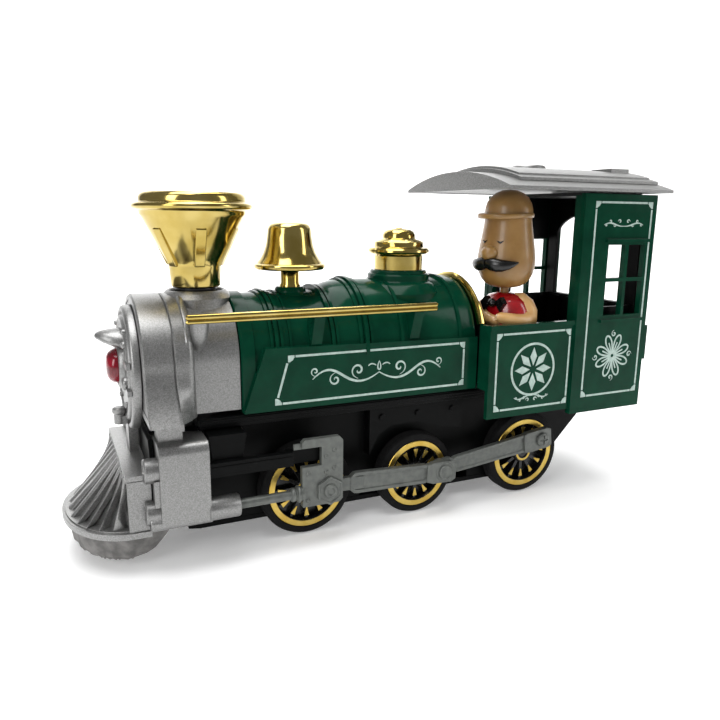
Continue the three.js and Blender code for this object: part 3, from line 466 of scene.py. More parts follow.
def stand_in(name, bm, part, materials, slot, *shape):
    """A piece that takes the place of one part of the skeleton, on that part's body."""
    piece(name, bm, BODY_OF[part], materials, slot, [part], *shape)


def lining(name, bm, bevel):
    """A plain black piece that the skeleton doesn't have."""
    piece(name, bm, "locomotive", [BLACK], "black_plastic", (), bevel)


def merge(bm, part):
    """Adds the shape `part` to `bm`."""
    mesh = bpy.data.meshes.new("merged")
    part.to_mesh(mesh)
    part.free()
    bm.from_mesh(mesh)


def both(build):
    """Runs build for the left side (sign -1) and the right side (sign +1)."""
    for side_name, sign in (("l", -1), ("r", 1)):
        build(side_name, sign)


def facing(bm, sign):
    """Pieces are drawn on the left; this turns the drawing over for the right side."""
    if sign > 0:
        bmesh.ops.scale(bm, vec=(1, -1, 1), verts=bm.verts)
        bmesh.ops.reverse_faces(bm, faces=bm.faces)


def circle(cx, cy, radius, count=48, start=0.0):
    return [(cx + radius * math.cos(start + a),
        cy + radius * math.sin(start + a)) for a in around(count)]


print("helpers ready; a circle has", len(circle(0, 0, 1)), "points")


# %% [markdown]
# ## Wheels
#
# Each wheel is a black moulding with twelve thin spokes. A hot-stamped gold band runs round the rim,
# a narrow one round the hub, and each spoke carries a short gold wedge near the rim. The tyre is a
# separate ribbed band. Spinning a profile is the natural way to make anything that was turned.

# %% Wheels, gold bands and tyres
def make_wheel(place, side_name, sign):
    low, high = mm(f"wheel_{place}_{side_name}")
    cx, cz = (low[0] + high[0]) / 2, (low[2] + high[2]) / 2
    radius = mm(f"tyre_{place}_{side_name}")
    radius = (radius[1][2] - radius[0][2]) / 2
    inner, outer = 11.6, 16.4
    rim = radius - 2.15
    body = BODY_OF[f"wheel_{place}_{side_name}"]
    bm = bmesh.new()
    centre = (cx, 0, cz)
    turned(bm, [(rim - 1.9, -inner), (rim, -inner), (rim, -outer + 0.2), (rim - 0.1, -outer),
        (rim - 1.75, -outer),
                (rim - 2.0, -outer + 0.6), (rim - 2.1, -13.6), (rim - 2.4, -13.2),
                (rim - 2.4, -12.9), (rim - 1.9, -12.6),
                (rim - 1.9, -inner)], centre, "Y")
    turned(bm, [(0, -13.6), (rim - 1.5, -13.6), (rim - 1.5, -12.9), (0, -12.9)], centre, "Y", 64)
    turned(bm, [(0, -16.1), (1.6, -16.1), (1.9, -outer), (3.0, -outer), (3.3, -16), (3.6, -14.2),
        (3.6, -12.4), (0, -12.4)], centre, "Y", 64)
    for angle in around(12):
        spoke = [(cx - 0.42, cz + rim - 1.6), (cx + 0.42, cz + rim - 1.6), (cx + 0.62, cz + 2.8),
            (cx - 0.62, cz + 2.8)]
        made = slab(bm, spoke, "Y", -15.5, -13.4)
        bmesh.ops.rotate(bm, cent=at(*centre), matrix=Matrix.Rotation(angle, 3, "Y"), verts=made)
    facing(bm, sign)
    piece(f"spoked_wheel_{place}_{side_name}", bm, body, [BLACK_GLOSS], "black_plastic",
        [f"wheel_{place}_{side_name}"], 0.12)
    bm = bmesh.new()
    turned(bm, [(rim - 1.75, -outer + 0.1), (rim - 1.6, -outer - 0.08), (rim - 0.15, -outer - 0.08),
        (rim, -outer + 0.1),
                (rim - 1.75, -outer + 0.1)], centre, "Y", 128)
    turned(bm, [(1.95, -outer + 0.1), (2.1, -outer - 0.06), (2.7, -outer - 0.06),
        (2.85, -outer + 0.1), (1.95, -outer + 0.1)], centre, "Y", 64)
    for angle in around(12):
        wedge = [(cx - 0.72, cz + rim - 2.8), (cx + 0.72, cz + rim - 2.8),
            (cx + 0.15, cz + rim - 5.3), (cx - 0.15, cz + rim - 5.3)]
        made = slab(bm, wedge, "Y", -15.72, -15.4)
        bmesh.ops.rotate(bm, cent=at(*centre), matrix=Matrix.Rotation(angle, 3, "Y"), verts=made)
    facing(bm, sign)
    piece(f"gold_band_{place}_{side_name}", bm, body, [GOLD_FOIL], "gold_plate", (), 0.05)
    bm = bmesh.new()
    profile = [(radius - 2.0, -11.75), (radius - 0.9, -11.75), (radius - 0.35, -11.9)]
    for i in range(4):
        y = -12.2 - 0.55 * i
        profile += [(radius - 0.1, y), (radius, y - 0.1), (radius, y - 0.3),
            (radius - 0.1, y - 0.38), (radius - 0.3, y - 0.45)]
    profile += [(radius - 0.02, -14.6), (radius, -15.6), (radius - 0.2, -16.1),
        (radius - 0.6, -16.35), (radius - 2.0, -16.4), (radius - 2.0, -11.75)]
    turned(bm, profile, centre, "Y", 144)
    facing(bm, sign)
    piece(f"ribbed_tyre_{place}_{side_name}", bm, body, [RUBBER], "tyre_rubber",
        [f"tyre_{place}_{side_name}"], 0)


for place in ("front", "middle", "rear"):
    both(lambda side_name, sign: make_wheel(place, side_name, sign))
    low, high = mm(f"axle_{place}")
    bm = bmesh.new()
    turned(bm, [(0, low[1]), (0.9, low[1]), (1.25, low[1] + 0.4), (1.25, high[1] - 0.4),
        (0.9, high[1]), (0, high[1])],
           ((low[0] + high[0]) / 2, 0, (low[2] + high[2]) / 2), "Y", 32)
    stand_in(f"steel_axle_{place}", bm, f"axle_{place}", [STEEL], "steel", 0)
print("wheels made:", len(PIECES))

# %% [markdown]
# ## Stack, bell and dome
#
# These three are plated plastic. The smokestack is the push button: a wide balloon top with a
# bead round it, a cone with raised ribs, and a short neck above a gap that shows how far it can be
# pressed. The bell hangs over a post, and the dome stands on a stepped green base.

# %% Stack
low, high = mm("stack")
sx = (low[0] + high[0]) / 2
top = high[2]
bm = bmesh.new()
turned(bm, [(0, top - 0.8), (11.0, top - 0.8), (11.5, top - 0.3), (12.2, top), (12.9, top - 0.1),
    (13.5, top - 0.6), (13.85, top - 1.3),
            (13.9, top - 2.2), (13.9, top - 2.5), (14.4, top - 2.6), (15.1, top - 2.75),
            (15.5, top - 3.1), (15.7, top - 3.6), (15.5, top - 4.1),
            (15.1, top - 4.4), (14.2, top - 4.6), (13.9, top - 4.9), (13.8, top - 5.6),
            (13.3, top - 6.3), (7.6, top - 17.2), (7.1, top - 18.1),
            (6.9, top - 19.0), (6.5, top - 24.1), (6.3, top - 24.5), (5.6, top - 24.6),
            (0, top - 24.6)], (sx, 0, 0), "Z", 160)
turned(bm, [(0, top - 24.5), (5.6, top - 24.5), (5.6, top - 33), (7.9, top - 33.4), (7.9, top - 35),
    (0, top - 35)], (sx, 0, 0), "Z", 96, 1)
for i in range(6):
    rib = [(6.4, top - 18.9), (7.3, top - 19.0), (7.7, top - 18.4), (8.1, top - 17.6),
        (9.3, top - 15.2), (12.1, top - 9.3), (11.7, top - 9.0), (10.6, top - 9.2)]
    made = slab(bm, [(sx + u, v) for u, v in rib], "Y", -1.35, 1.35)
    bmesh.ops.rotate(bm, cent=at(sx, 0, 0), matrix=Matrix.Rotation(math.radians(60 * i - 92), 3,
        "Z"), verts=made)
stand_in("smokestack", bm, "stack", [GOLD, BLACK_GLOSS], "gold_plate", 0.25, 40, 3)

# %% [markdown]
# **Bell.** A thin plated bell over a slim post. The profile runs down the outside, round the lip
# and back up the inside, so the bell is really hollow.

# %% Bell
low, high = mm("bell")
bx, top = (low[0] + high[0]) / 2, high[2]
bm = bmesh.new()
turned(bm, [(0, top), (3.8, top - 0.05), (5.0, top - 0.3), (5.7, top - 0.85), (6.1, top - 1.8),
    (6.35, top - 4), (6.75, top - 6.4), (7.4, top - 8.3),
            (8.3, top - 9.9), (9.1, top - 10.9), (9.3, top - 11.2), (9.7, top - 11.3),
            (10.05, top - 11.6), (10.15, top - 12.1), (10.0, top - 12.6),
            (9.6, top - 12.9), (9.0, top - 12.9), (8.6, top - 12.5), (7.4, top - 11.2),
            (6.2, top - 9), (5.4, top - 5), (2.6, top - 4), (2.6, top - 16.8),
            (2.9, top - 17.4), (2.9, top - 18), (0, top - 18)], (bx, 0, 0), "Z", 128)
stand_in("bell_on_post", bm, "bell", [GOLD], "gold_plate", 0)

# %% [markdown]
# **Dome.** A plated cap with a small knob on top and a stepped brim, spun from one profile.

# %% Dome
low, high = mm("dome_cap")
dx, top = (low[0] + high[0]) / 2, high[2]
bm = bmesh.new()
turned(bm, [(0, top), (0.8, top - 0.02), (1.2, top - 0.3), (3.6, top - 0.6), (4.5, top - 1.2),
    (4.9, top - 2.0), (4.95, top - 3.0), (5.3, top - 3.3),
            (6.9, top - 3.8), (7.4, top - 4.2), (7.5, top - 5.3), (7.7, top - 5.6),
            (8.8, top - 5.9), (9.25, top - 6.4), (9.3, top - 7.0),
            (8.9, top - 7.5), (7.9, top - 7.8), (7.4, top - 8.3), (7.3, top - 12.3),
            (0, top - 12.3)], (dx, 0, 0), "Z", 128)
stand_in("dome", bm, "dome_cap", [GOLD], "gold_plate", 0)
print("stack, bell and dome from", round(top, 1), "mm")

# %% [markdown]
# ## Boiler
#
# The boiler is one hollow moulding: a round barrel in front that steps up to a taller rear part,
# flat running boards down both sides, raised bands, and pads for the bell and the dome. Each
# cross-section is a half round on straight legs, so the walls are bridged from a row of such
# arches, first along the outside and then back along the inside, which leaves it hollow.

# %% Arches
def arch(x, top, half, foot_y, foot_z, over=51.0):
    legs = [(half + (foot_y - half) * (1 - i / 6) ** 1.6,
        foot_z + (over - foot_z) * i / 6) for i in range(6)]
    crown = [(half * math.cos(math.pi * i / 56),
        over + top * math.sin(math.pi * i / 56)) for i in range(57)]
    return [(x, y, z) for y, z in legs + crown + [(-y, z) for y, z in reversed(legs)]]


def tunnel(bm, outer, inner):
    """A hollow wall: bridged outside, turned over at the end, bridged back inside, and joined up."""
    loops = outer + inner[::-1]
    before = set(bm.faces)
    rings = []
    for loop in loops:
        verts = [bm.verts.new(at(*p)) for p in loop]
        rings.append([bm.edges.new((verts[i],
            verts[(i + 1) % len(verts)])) for i in range(len(verts))])
    for a, b in zip(rings, rings[1:] + rings[:1]):
        bmesh.ops.bridge_loops(bm, edges=a + b)
    faces = [f for f in bm.faces if f not in before]
    bmesh.ops.recalc_face_normals(bm, faces=faces)
    return list({v for f in faces for v in f.verts})


def carve(bm, cut):
    """Takes the closed shape `cut` out of `bm` with Blender's exact Boolean."""
    objects = []
    for part in (bm, cut):
        mesh = bpy.data.meshes.new("carving")
        part.to_mesh(mesh)
        part.free()
        objects.append(plain("carving", mesh))
    block, tool = objects
    boolean = block.modifiers.new("cut", "BOOLEAN")
    boolean.operation = "DIFFERENCE"
    boolean.solver = "EXACT"
    boolean.object = tool
    bpy.context.view_layer.update()
    made = bpy.data.meshes.new_from_object(block.evaluated_get(bpy.context.evaluated_depsgraph_get()))
    result = bmesh.new()
    result.from_mesh(made)
    for obj in objects:
        bpy.data.objects.remove(obj)
    return result


# %% [markdown]
# The body is one tunnel of arches. Eleven raised bands, two boards along the sides, four brackets
# for the handrails and the seats of the dome and the bell are set on it.

# %% Boiler body, bands and pads
boiler = bmesh.new()
outside = [arch(-18, 16.6, 16.6, 16.6, 37.6), arch(-17.8, 16.85, 16.85, 16.85, 37.6),
    arch(-14.3, 16.85, 16.85, 16.85, 37.6),
           arch(-14, 16.25, 16.25, 16.25, 37.6), arch(5.5, 16.4, 16.4, 16.4, 37.6),
           arch(8, 16.9, 16.7, 16.7, 37.6),
           arch(11, 18.1, 17.1, 17.1, 37.6), arch(14, 18.9, 17.3, 17.3, 37.6),
           arch(52.6, 19.4, 17.5, 17.5, 37.6),
           arch(53.5, 19.0, 17.3, 17.3, 37.6), arch(53.8, 18.4, 17.0, 17.0, 37.6)]
inside = [arch(-18, 14.6, 14.6, 14.6, 39.2), arch(5.5, 14.6, 14.6, 14.6, 39.2),
    arch(14, 17, 15.6, 15.6, 39.2), arch(53.8, 17.2, 15.6, 15.6, 39.2)]
tunnel(boiler, outside, inside)


def band(x, width, rise):
    """A hoop that follows the boiler's outside from one running board over to the other."""
    grow = max(0.0, min(1.0, (x - 5.5) / 8.5))
    top, half = 16.3 + 2.6 * grow + 0.06 * max(0, x - 14) * 0.3, 16.3 + 1.0 * grow
    ends = (x, x + width)
    tunnel(boiler, [arch(p, top + rise, half + rise, half + rise, 52) for p in ends],
           [arch(p, top - 0.8, half - 0.8, half - 0.8, 52.9) for p in ends])


for x, width, rise in ((-9.9, 0.8, 0.5), (-8.7, 0.9, 0.95), (-7.1, 0.8, 0.5), (-4.6, 0.7, 0.5),
    (7.2, 0.9, 1.15), (8.7, 0.8, 0.6),
                       (15.4, 0.9, 0.6), (16.9, 1.1, 1.1), (18.7, 0.9, 0.6), (28.2, 1.0, 0.7),
                       (47.6, 1.0, 0.45)):
    band(x, width, rise)
for sign in (-1, 1):
    board = [(-17.9, 37.6), (53.8, 37.6), (53.8, 53.4), (-11.9, 54.5)]
    slab(boiler, board, "Y", sign * 15.2, sign * 18.2)
    for x in (2.4, 32.4):
        made = brick(boiler, (x - 1.5, -20.3, 54.2), (x + 1.5, -14.6, 62.2))
        for v in made:
            if v.co.z < at(0, 0, 56).z and v.co.y < at(0, -18, 0).y:
                v.co.y = at(0, -17.6, 0).y
        if sign > 0:
            bmesh.ops.scale(boiler, vec=(1, -1, 1), verts=made)
            bmesh.ops.reverse_faces(boiler, faces=list({f for v in made for f in v.link_faces}))
turned(boiler, [(3.4, 68), (3.4, 72.6), (8.2, 72.6), (8.6, 72.2), (8.6, 71.7), (9.1, 71.5),
    (9.4, 71.1), (9.4, 69.6), (9.7, 69.2),
                (11.2, 68.6), (13.2, 66.2), (13.2, 64), (3.4, 64), (3.4, 68)], (36, 0, 0), "Z", 96)
turned(boiler, [(1.7, 68.6), (3.8, 68.6), (4.2, 68.2), (4.6, 67.2), (5.4, 66.6), (5.4, 64),
    (1.7, 64), (1.7, 68.6)], (1.1, 0, 0), "Z", 64)
stand_in("boiler_moulding", boiler, "boiler_shell", [GREEN], "green_paint", 0.22, 30, 3)
print("boiler length", round(53.8 + 18, 1), "mm")

# %% [markdown]
# ## Smokebox, its round front and the lamp
#
# The silver smokebox is a hollow casting, so that the stack can travel down into it. Its drum
# flares outwards to two feet, a black gap parts it from a flange with a bead, and a plain barrel
# runs back to the boiler. The hole for the stack is carved through the barrel's roof.

# %% Smokebox
barrel = bmesh.new()
tunnel(barrel, [arch(-30.6, 16.2, 16.2, 16.4, 38.6), arch(-18.3, 16.2, 16.2, 16.4, 38.6)],
       [arch(-30.6, 14.6, 14.6, 14.6, 40.2), arch(-18.3, 14.6, 14.6, 14.6, 40.2)])
flange = bmesh.new()
tunnel(flange, [arch(-35.2, 16.7, 19.7, 25.2, 39), arch(-34.9, 17, 20, 25.4, 39),
    arch(-32.2, 17, 19.7, 22.8, 39), arch(-31.9, 17.5, 19.8, 22, 39),
                arch(-31.4, 17.75, 19.7, 21.4, 39), arch(-30.7, 17.7, 19.3, 20.4, 39),
                arch(-30.3, 17.2, 18.6, 19.4, 39), arch(-30.2, 16.3, 17.2, 17.8, 39)],
       [arch(-35.2, 15, 17.8, 22.4, 40.6), arch(-30.2, 15, 16, 16, 40.6)])
box_bm = bmesh.new()
for shell in (barrel, flange):
    hole = bmesh.new()
    rod(hole, (sx, 0, 58), (sx, 0, 72), 7.0, segments=96)
    merge(box_bm, carve(shell, hole))
tunnel(box_bm, [arch(-42.8, 16.6, 19.6, 26.6, 39), arch(-42.4, 17, 20, 27, 39),
    arch(-35.7, 17, 20, 27, 39)],
       [arch(-42.8, 15.4, 18.2, 24.6, 40.6), arch(-42.4, 15.4, 18.2, 24.6, 40.6),
       arch(-35.7, 15.4, 18.2, 24.6, 40.6)])
skin(box_bm, [arch(-42.6, 15.6, 18.4, 24.8, 40.4), arch(-41.4, 15.6, 18.4, 24.8, 40.4)])
tunnel(box_bm, [arch(-35.9, 16.1, 19.1, 25.4, 39.2), arch(-34.9, 16.1, 19.1, 25.4, 39.2)],
       [arch(-35.9, 14.9, 17.8, 24, 40.6), arch(-34.9, 14.9, 17.8, 24, 40.6)])
turned(box_bm, [(7.0, 68.0), (7.15, 68.5), (7.5, 68.75), (8.0, 68.5), (8.6, 67.8), (9.6, 66.8),
    (9.6, 63.6), (7.0, 63.6), (7.0, 68.0)], (sx, 0, 0), "Z", 96)
for sign in (-1, 1):
    loops = []
    for z, radius, y in ((62.3, 2.3, 17.9), (60.5, 2.3, 17.6), (58.4, 2.15, 16.9),
        (56.6, 1.7, 16.1), (55.2, 1.0, 15.4), (54.6, 0.4, 15.0)):
        loops.append([(-28.6 + u, sign * (y + v), z) for u, v in circle(0, 0, radius, 32)])
    skin(box_bm, loops)
stand_in("smokebox_casting", box_bm, "smokebox", [SILVER], "silver_paint", 0.15, 34, 2)

# %% [markdown]
# **Round front.** A turned disc with raised rings closes the drum. A visor stands out over the red
# lamp, and small bosses stand round it like bolts. The lamp is one clear red moulding.

# %% Round front with hood and bosses, and the lamp
bm = bmesh.new()
zc = 48.8
turned(bm, [(0, -45.5), (6, -45.5), (11.9, -45.3), (12.4, -45.7), (13.1, -45.75), (13.7, -45.4),
    (14.0, -44.7), (14.6, -44.5), (14.9, -45.1),
            (15.5, -45.2), (16.1, -44.9), (16.4, -44.3), (16.4, -42.9), (0, -42.9)], (0, 0, zc),
            "X", 128)
turned(bm, [(4.8, -46.3), (5.0, -46.9), (5.6, -46.9), (6.1, -46.4), (6.3, -45.2), (4.8, -45.2),
    (4.8, -46.3)], (0, 0, 49.4), "X", 64)
loops = []
for x, half, z, rise, drop in ((-45.2, 5.1, 55.6, 3.7, 1.5), (-46.6, 4.9, 55.7, 3.6, 1.4),
    (-48.2, 4.3, 56.1, 3.1, 1.2), (-49.7, 3.4, 56.6, 2.4, 1.0),
                               (-50.9, 2.3, 57.1, 1.6, 0.8), (-51.6, 1.4, 57.4, 0.9, 0.6),
                               (-51.95, 0.5, 57.5, 0.35, 0.3)):
    loops.append([(x, half * math.cos(a), z + (rise if math.sin(a) > 0 else drop) * math.sin(a))
                  for a in around(40)])
skin(bm, loops)
for y, z, radius, rise in ((-9.6, 56.4, 0.9, 1.2), (-8.2, 59.4, 0.7, 1.0), (9.6, 56.4, 0.9, 1.2),
    (8.2, 59.4, 0.7, 1.0), (-9.8, 46.6, 1.7, 1.7), (9.8, 46.6, 1.7, 1.7),
                           (-6, 40.0, 0.8, 0.9), (6, 40.0, 0.8, 0.9)):
    turned(bm, [(0, -45.3 - rise), (radius * 0.6, -45.3 - rise), (radius * 0.9, -45.3 - rise * 0.8),
        (radius, -45.3 - rise * 0.5), (radius, -45.1), (0, -45.1)],
           (0, y, z), "X", 32)
for sign in (-1, 1):
    low_y, high_y = sorted((sign * 10.2, sign * 15.6))
    for z in (51.9, 45.2):
        brick(bm, (-46.2, low_y, z - 0.7), (-45.2, high_y, z + 0.7))
stand_in("smokebox_door", bm, "smokebox_front", [SILVER], "silver_paint", 0.2, 40)
bm = bmesh.new()
turned(bm, [(0, -49.7), (1.5, -49.65), (2.8, -49.4), (3.7, -48.9), (4.3, -48.1), (4.6, -47.2),
    (4.6, -46.6), (4.3, -46.1), (0, -46.1)], (0, 0, 49.4), "X", 96)
stand_in("red_lamp", bm, "headlamp_lens", [LENS], "red_lens", 0)

# %% [markdown]
# ## Handrails and the ring behind the boiler
#
# Each handrail is one plated moulding that looks like two thin rods side by side. The gold ring
# behind the boiler has two ridges. It is only half a circle, so its profile is carried round an arc
# and bridged, rather than spun all the way.

# %% Handrails and ring
def make_handrail(side_name, sign):
    bm = bmesh.new()
    for z, radius in ((64.1, 0.7), (62.95, 0.58)):
        turned(bm, [(0, -32.4), (radius * 0.6, -32.35), (radius, -32), (radius, 37.6),
            (radius * 0.6, 37.95), (0, 38)], (0, -20.4, z), "X", 32)
    brick(bm, (-32, -20.65, 63), (37.7, -20.15, 64))
    facing(bm, sign)
    stand_in(f"gold_handrail_{side_name}", bm, f"handrail_{side_name}", [GOLD], "gold_plate", 0)


both(make_handrail)
bm = bmesh.new()
profile = [(18.0, 54.0), (19.3, 53.95), (19.9, 54.15), (20.3, 54.5), (20.1, 54.75), (20.35, 55.0),
    (20.2, 55.3), (19.7, 55.5), (18.0, 55.5)]
start = math.asin((57.6 - 51) / 20.4)
loops = [[(x, r * math.cos(a), 51 + r * math.sin(a)) for r, x in profile]
         for a in (start + (math.pi - 2 * start) * i / 72 for i in range(73))]
skin(bm, loops)
stand_in("gold_ring", bm, "backhead_ring", [GOLD], "gold_plate", 0)

# %% [markdown]
# ## Cylinder blocks
#
# A cylinder block is a silver box with a well-rounded top outer edge. The piston rod slides in it,
# so its bore is carved out. Two bosses stand on its front, a half-round lip runs along its bottom,
# and two steps on top carry the smokebox's foot.

# %% Cylinder blocks
def make_cylinder(side_name, sign):
    block = bmesh.new()
    outline = [(-15.4, 14.2), (-25.5, 14.2), (-25.5, 31.3)]
    outline += [(-22.8 - 2.7 * math.cos(a),
        31.3 + 2.7 * math.sin(a)) for a in (math.pi / 2 * i / 8 for i in range(1, 9))]
    slab(block, outline + [(-15.4, 34.0)], "X", -41.0, -28.9)
    bore = bmesh.new()
    rod(bore, (-40.4, -23.1, 15.3), (-20, -23.1, 15.3), 1.45, segments=48)
    bm = carve(block, bore)
    for z, back in ((27.2, -44.4), (16.2, -44.4)):
        turned(bm, [(0, -43.9), (1.5, -43.9), (1.7, back), (2.8, back), (3.1, back + 0.3),
            (3.1, -40.9), (0, -40.9)], (0, -21.8, z), "X", 64)
    turned(bm, [(0, -43.3), (1.3, -43.3), (1.5, -43.6), (1.9, -43.6), (2.1, -43.3), (2.1, -28.6),
        (1.9, -28.4), (0, -28.4)], (0, -23.3, 14.1), "X", 48)
    turned(bm, [(1.45, -29.2), (3.0, -29.2), (3.0, -21.6), (2.8, -21.3), (1.9, -21.3), (1.7, -21.6),
        (1.45, -21.9), (1.45, -29.2)], (0, -23.1, 15.3), "X", 64)
    brick(bm, (-42.3, -24.7, 18.4), (-40.9, -19.0, 25.2))
    brick(bm, (-40.4, -21.8, 33.9), (-34.6, -15.4, 36.6))
    brick(bm, (-40.6, -22.8, 36.5), (-34.2, -15.4, 38.4))
    brick(bm, (-40, -15.5, 16), (-30, -11.2, 30))
    facing(bm, sign)
    stand_in(f"cylinder_casting_{side_name}", bm, f"cylinder_block_{side_name}", [SILVER],
        "silver_paint", 0.3, 40, 3)


both(make_cylinder)

# %% [markdown]
# ## Crosshead and rods
#
# The motion is grey filled nylon: a crosshead plate with an open notch, rivet heads and a hexagon
# that frames its pivot, then a main rod and a side rod that meet at a floating joint. The
# shallow panel along each rod is made the way an engraver would think of it: inset the face, then
# push the inner part down.

# %% Parts of the motion
def sink(bm, verts, rim, depth):
    """Insets the face that looks out to the left and pushes its middle in."""
    faces = list({f for v in verts for f in v.link_faces})
    bmesh.ops.recalc_face_normals(bm, faces=faces)
    front = [f for f in faces if f.normal.y < -0.9]
    bmesh.ops.inset_individual(bm, faces=front, thickness=rim / 1000, use_even_offset=True)
    bmesh.ops.inset_individual(bm, faces=front, thickness=depth / 4000, depth=-depth / 1000,
        use_even_offset=True)


def stud(bm, x, z, y, radius, rise, sides=24):
    """A domed rivet head that stands out to the left."""
    return turned(bm, [(0, y - rise), (radius * 0.55, y - rise * 0.9),
        (radius * 0.88, y - rise * 0.5), (radius, y + 0.05), (0, y + 0.05)],
                  (x, 0, z), "Y", sides)


def beam(start, end, stations):
    """The outline of a bar from start to end; each station is a share of the way and a half width."""
    dx, dz = end[0] - start[0], end[1] - start[1]
    length = math.hypot(dx, dz)
    nx, nz = -dz / length, dx / length
    there = [(start[0] + dx * t - nx * w, start[1] + dz * t - nz * w) for t, w in stations]
    back = [(start[0] + dx * t + nx * w, start[1] + dz * t + nz * w) for t, w in reversed(stations)]
    return there + back


XHEAD, MID, CRANK = (3.6, 15.3), (41.7, 13.8), (79.4, 18.4)


# %% [markdown]
# **Crosshead.** One flat moulding with an open notch, six rivet heads and a sunk hexagon. Its
# piston rod is turned and slides in the bore of the cylinder block.

# %% Crossheads with their piston rods
def make_crosshead(side_name, sign):
    bm = bmesh.new()
    plate = [(-4.2, 11.6), (-4.0, 11.4), (6.6, 11.4), (7.6, 12.4), (7.6, 29.2), (6.5, 30.4),
        (-3.4, 30.4), (-4.2, 29.6),
             (-4.2, 28), (1.3, 28), (1.3, 22.8), (-4.2, 22.8)]
    slab(bm, plate, "Y", -24.0, -22.2)
    hexagon = slab(bm, circle(3.6, 15.3, 4.1, 6, math.pi / 6), "Y", -24.9, -23.7)
    sink(bm, hexagon, 0.6, 0.22)
    turned(bm, [(0, -25.1), (0.9, -25.1), (1.05, -25.4), (1.7, -25.4), (1.95, -25.1), (1.95, -23.8),
        (0, -23.8)], (3.6, 0, 15.3), "Y", 48)
    for x, z in ((5.0, 26.6), (5.0, 21.6), (2.6, 25.0), (2.6, 20.6), (-2.6, 20.9), (-2.6, 13.2)):
        stud(bm, x, z, -23.84, 0.7, 0.6)
    rod(bm, (3.6, -22.5, 15.3), (3.6, -19.2, 15.3), 1.5, segments=48)
    brick(bm, (-6.2, -22.9, 27.6), (-3.8, -22.2, 29.2))
    turned(bm, [(0, -36), (1.0, -36), (1.3, -35.6), (1.3, -7.4), (1.75, -7.2), (1.9, -6.9),
        (1.9, -6.3), (1.6, -6.1), (1.6, -5.8), (2.1, -5.6),
                (2.35, -5.3), (2.35, -4.9), (2.0, -4.7), (2.0, -3.6), (0, -3.6)], (0, -23.1, 15.3),
                "X", 48)
    facing(bm, sign)
    stand_in(f"grey_crosshead_{side_name}", bm, f"crosshead_{side_name}", [GREY], "grey_plastic",
        0.22, 40, 2)


# %% [markdown]
# **Rods.** Each rod is a tapered bar with a sunk panel and wider ends. The pin between the two is a
# double-headed stud, and the crank screw has a cross carved into its head.

# %% Main rods, side rods and their pins
def make_rods(side_name, sign):
    bm = bmesh.new()
    slab(bm, beam(XHEAD, MID, [(0.0, 2.6), (0.06, 1.9), (0.3, 1.9)]), "Y", -21.7, -20.0)
    verts = slab(bm, beam(XHEAD, MID, [(0.19, 1.9), (0.225, 3.0), (0.26, 3.1), (0.83, 2.85),
        (0.87, 2.1)]), "Y", -21.8, -19.9)
    sink(bm, verts, 1.0, 0.4)
    slab(bm, beam(XHEAD, MID, [(0.84, 2.6), (0.90, 3.3), (1.06, 3.3), (1.1, 2.4)]), "Y", -22.1,
        -20.2)
    turned(bm, [(1.6, -22.3), (2.9, -22.3), (3.1, -22.05), (3.1, -19.9), (1.6, -19.9),
        (1.6, -22.3)], (MID[0], 0, MID[1]), "Y", 64)
    turned(bm, [(1.6, -22.0), (2.7, -22.0), (2.9, -21.8), (2.9, -19.9), (1.6, -19.9), (1.6, -22.0)],
        (XHEAD[0], 0, XHEAD[1]), "Y", 64)
    facing(bm, sign)
    stand_in(f"grey_main_rod_{side_name}", bm, f"main_rod_{side_name}", [GREY], "grey_plastic",
        0.22, 40, 2)
    bm = bmesh.new()
    turned(bm, [(0, -22.7), (1.5, -22.75), (1.8, -22.95), (2.1, -22.9), (2.3, -22.6), (2.3, -22.3),
        (1.5, -22.3), (1.5, -17.5), (2.3, -17.5),
                (2.3, -17.1), (0, -17.1)], (MID[0], 0, MID[1]), "Y", 48)
    facing(bm, sign)
    stand_in(f"grey_pin_{side_name}", bm, f"mid_pin_{side_name}", [GREY], "grey_plastic", 0.08)
    bm = bmesh.new()
    verts = slab(bm, beam(MID, CRANK, [(0.1, 1.7), (0.15, 2.5), (0.82, 2.95), (0.86, 2.3)]), "Y",
        -19.6, -17.8)
    sink(bm, verts, 0.9, 0.4)
    slab(bm, beam(MID, CRANK, [(0.0, 2.4), (0.05, 2.9), (0.09, 2.9), (0.14, 1.8)]), "Y", -19.8,
        -17.9)
    slab(bm, beam(MID, CRANK, [(0.82, 2.9), (0.86, 3.35), (1.06, 3.35), (1.1, 2.8)]), "Y", -20.0,
        -17.8)
    turned(bm, [(1.6, -19.8), (3.0, -19.8), (3.0, -17.8), (1.6, -17.8), (1.6, -19.8)],
        (MID[0], 0, MID[1]), "Y", 64)
    facing(bm, sign)
    stand_in(f"grey_side_rod_{side_name}", bm, f"side_rod_{side_name}", [GREY], "grey_plastic",
        0.22, 40, 2)
    screw = bmesh.new()
    turned(screw, [(0, -21.1), (1.7, -21.05), (2.15, -20.8), (2.3, -20.4), (2.3, -20.05),
        (1.45, -20.05), (1.45, -16.9), (0, -16.9)], (CRANK[0], 0, CRANK[1]), "Y", 64)
    for wide, tall in ((1.5, 0.25), (0.25, 1.5)):
        slot_bm = bmesh.new()
        brick(slot_bm, (CRANK[0] - wide, -22, CRANK[1] - tall),
            (CRANK[0] + wide, -20.7, CRANK[1] + tall))
        screw = carve(screw, slot_bm)
    facing(screw, sign)
    stand_in(f"crank_pin_screw_{side_name}", screw, f"crank_screw_{side_name}", [GREY],
        "grey_plastic", 0.06)


both(make_crosshead)
both(make_rods)

# %% [markdown]
# ## Cowcatcher
#
# The silver cowcatcher has a flat deck, side cheeks, eleven slats that fan out to a curved foot, and a
# broad foot flange. The slats are bars over a darker core. Under it sits a rough dark skirt.

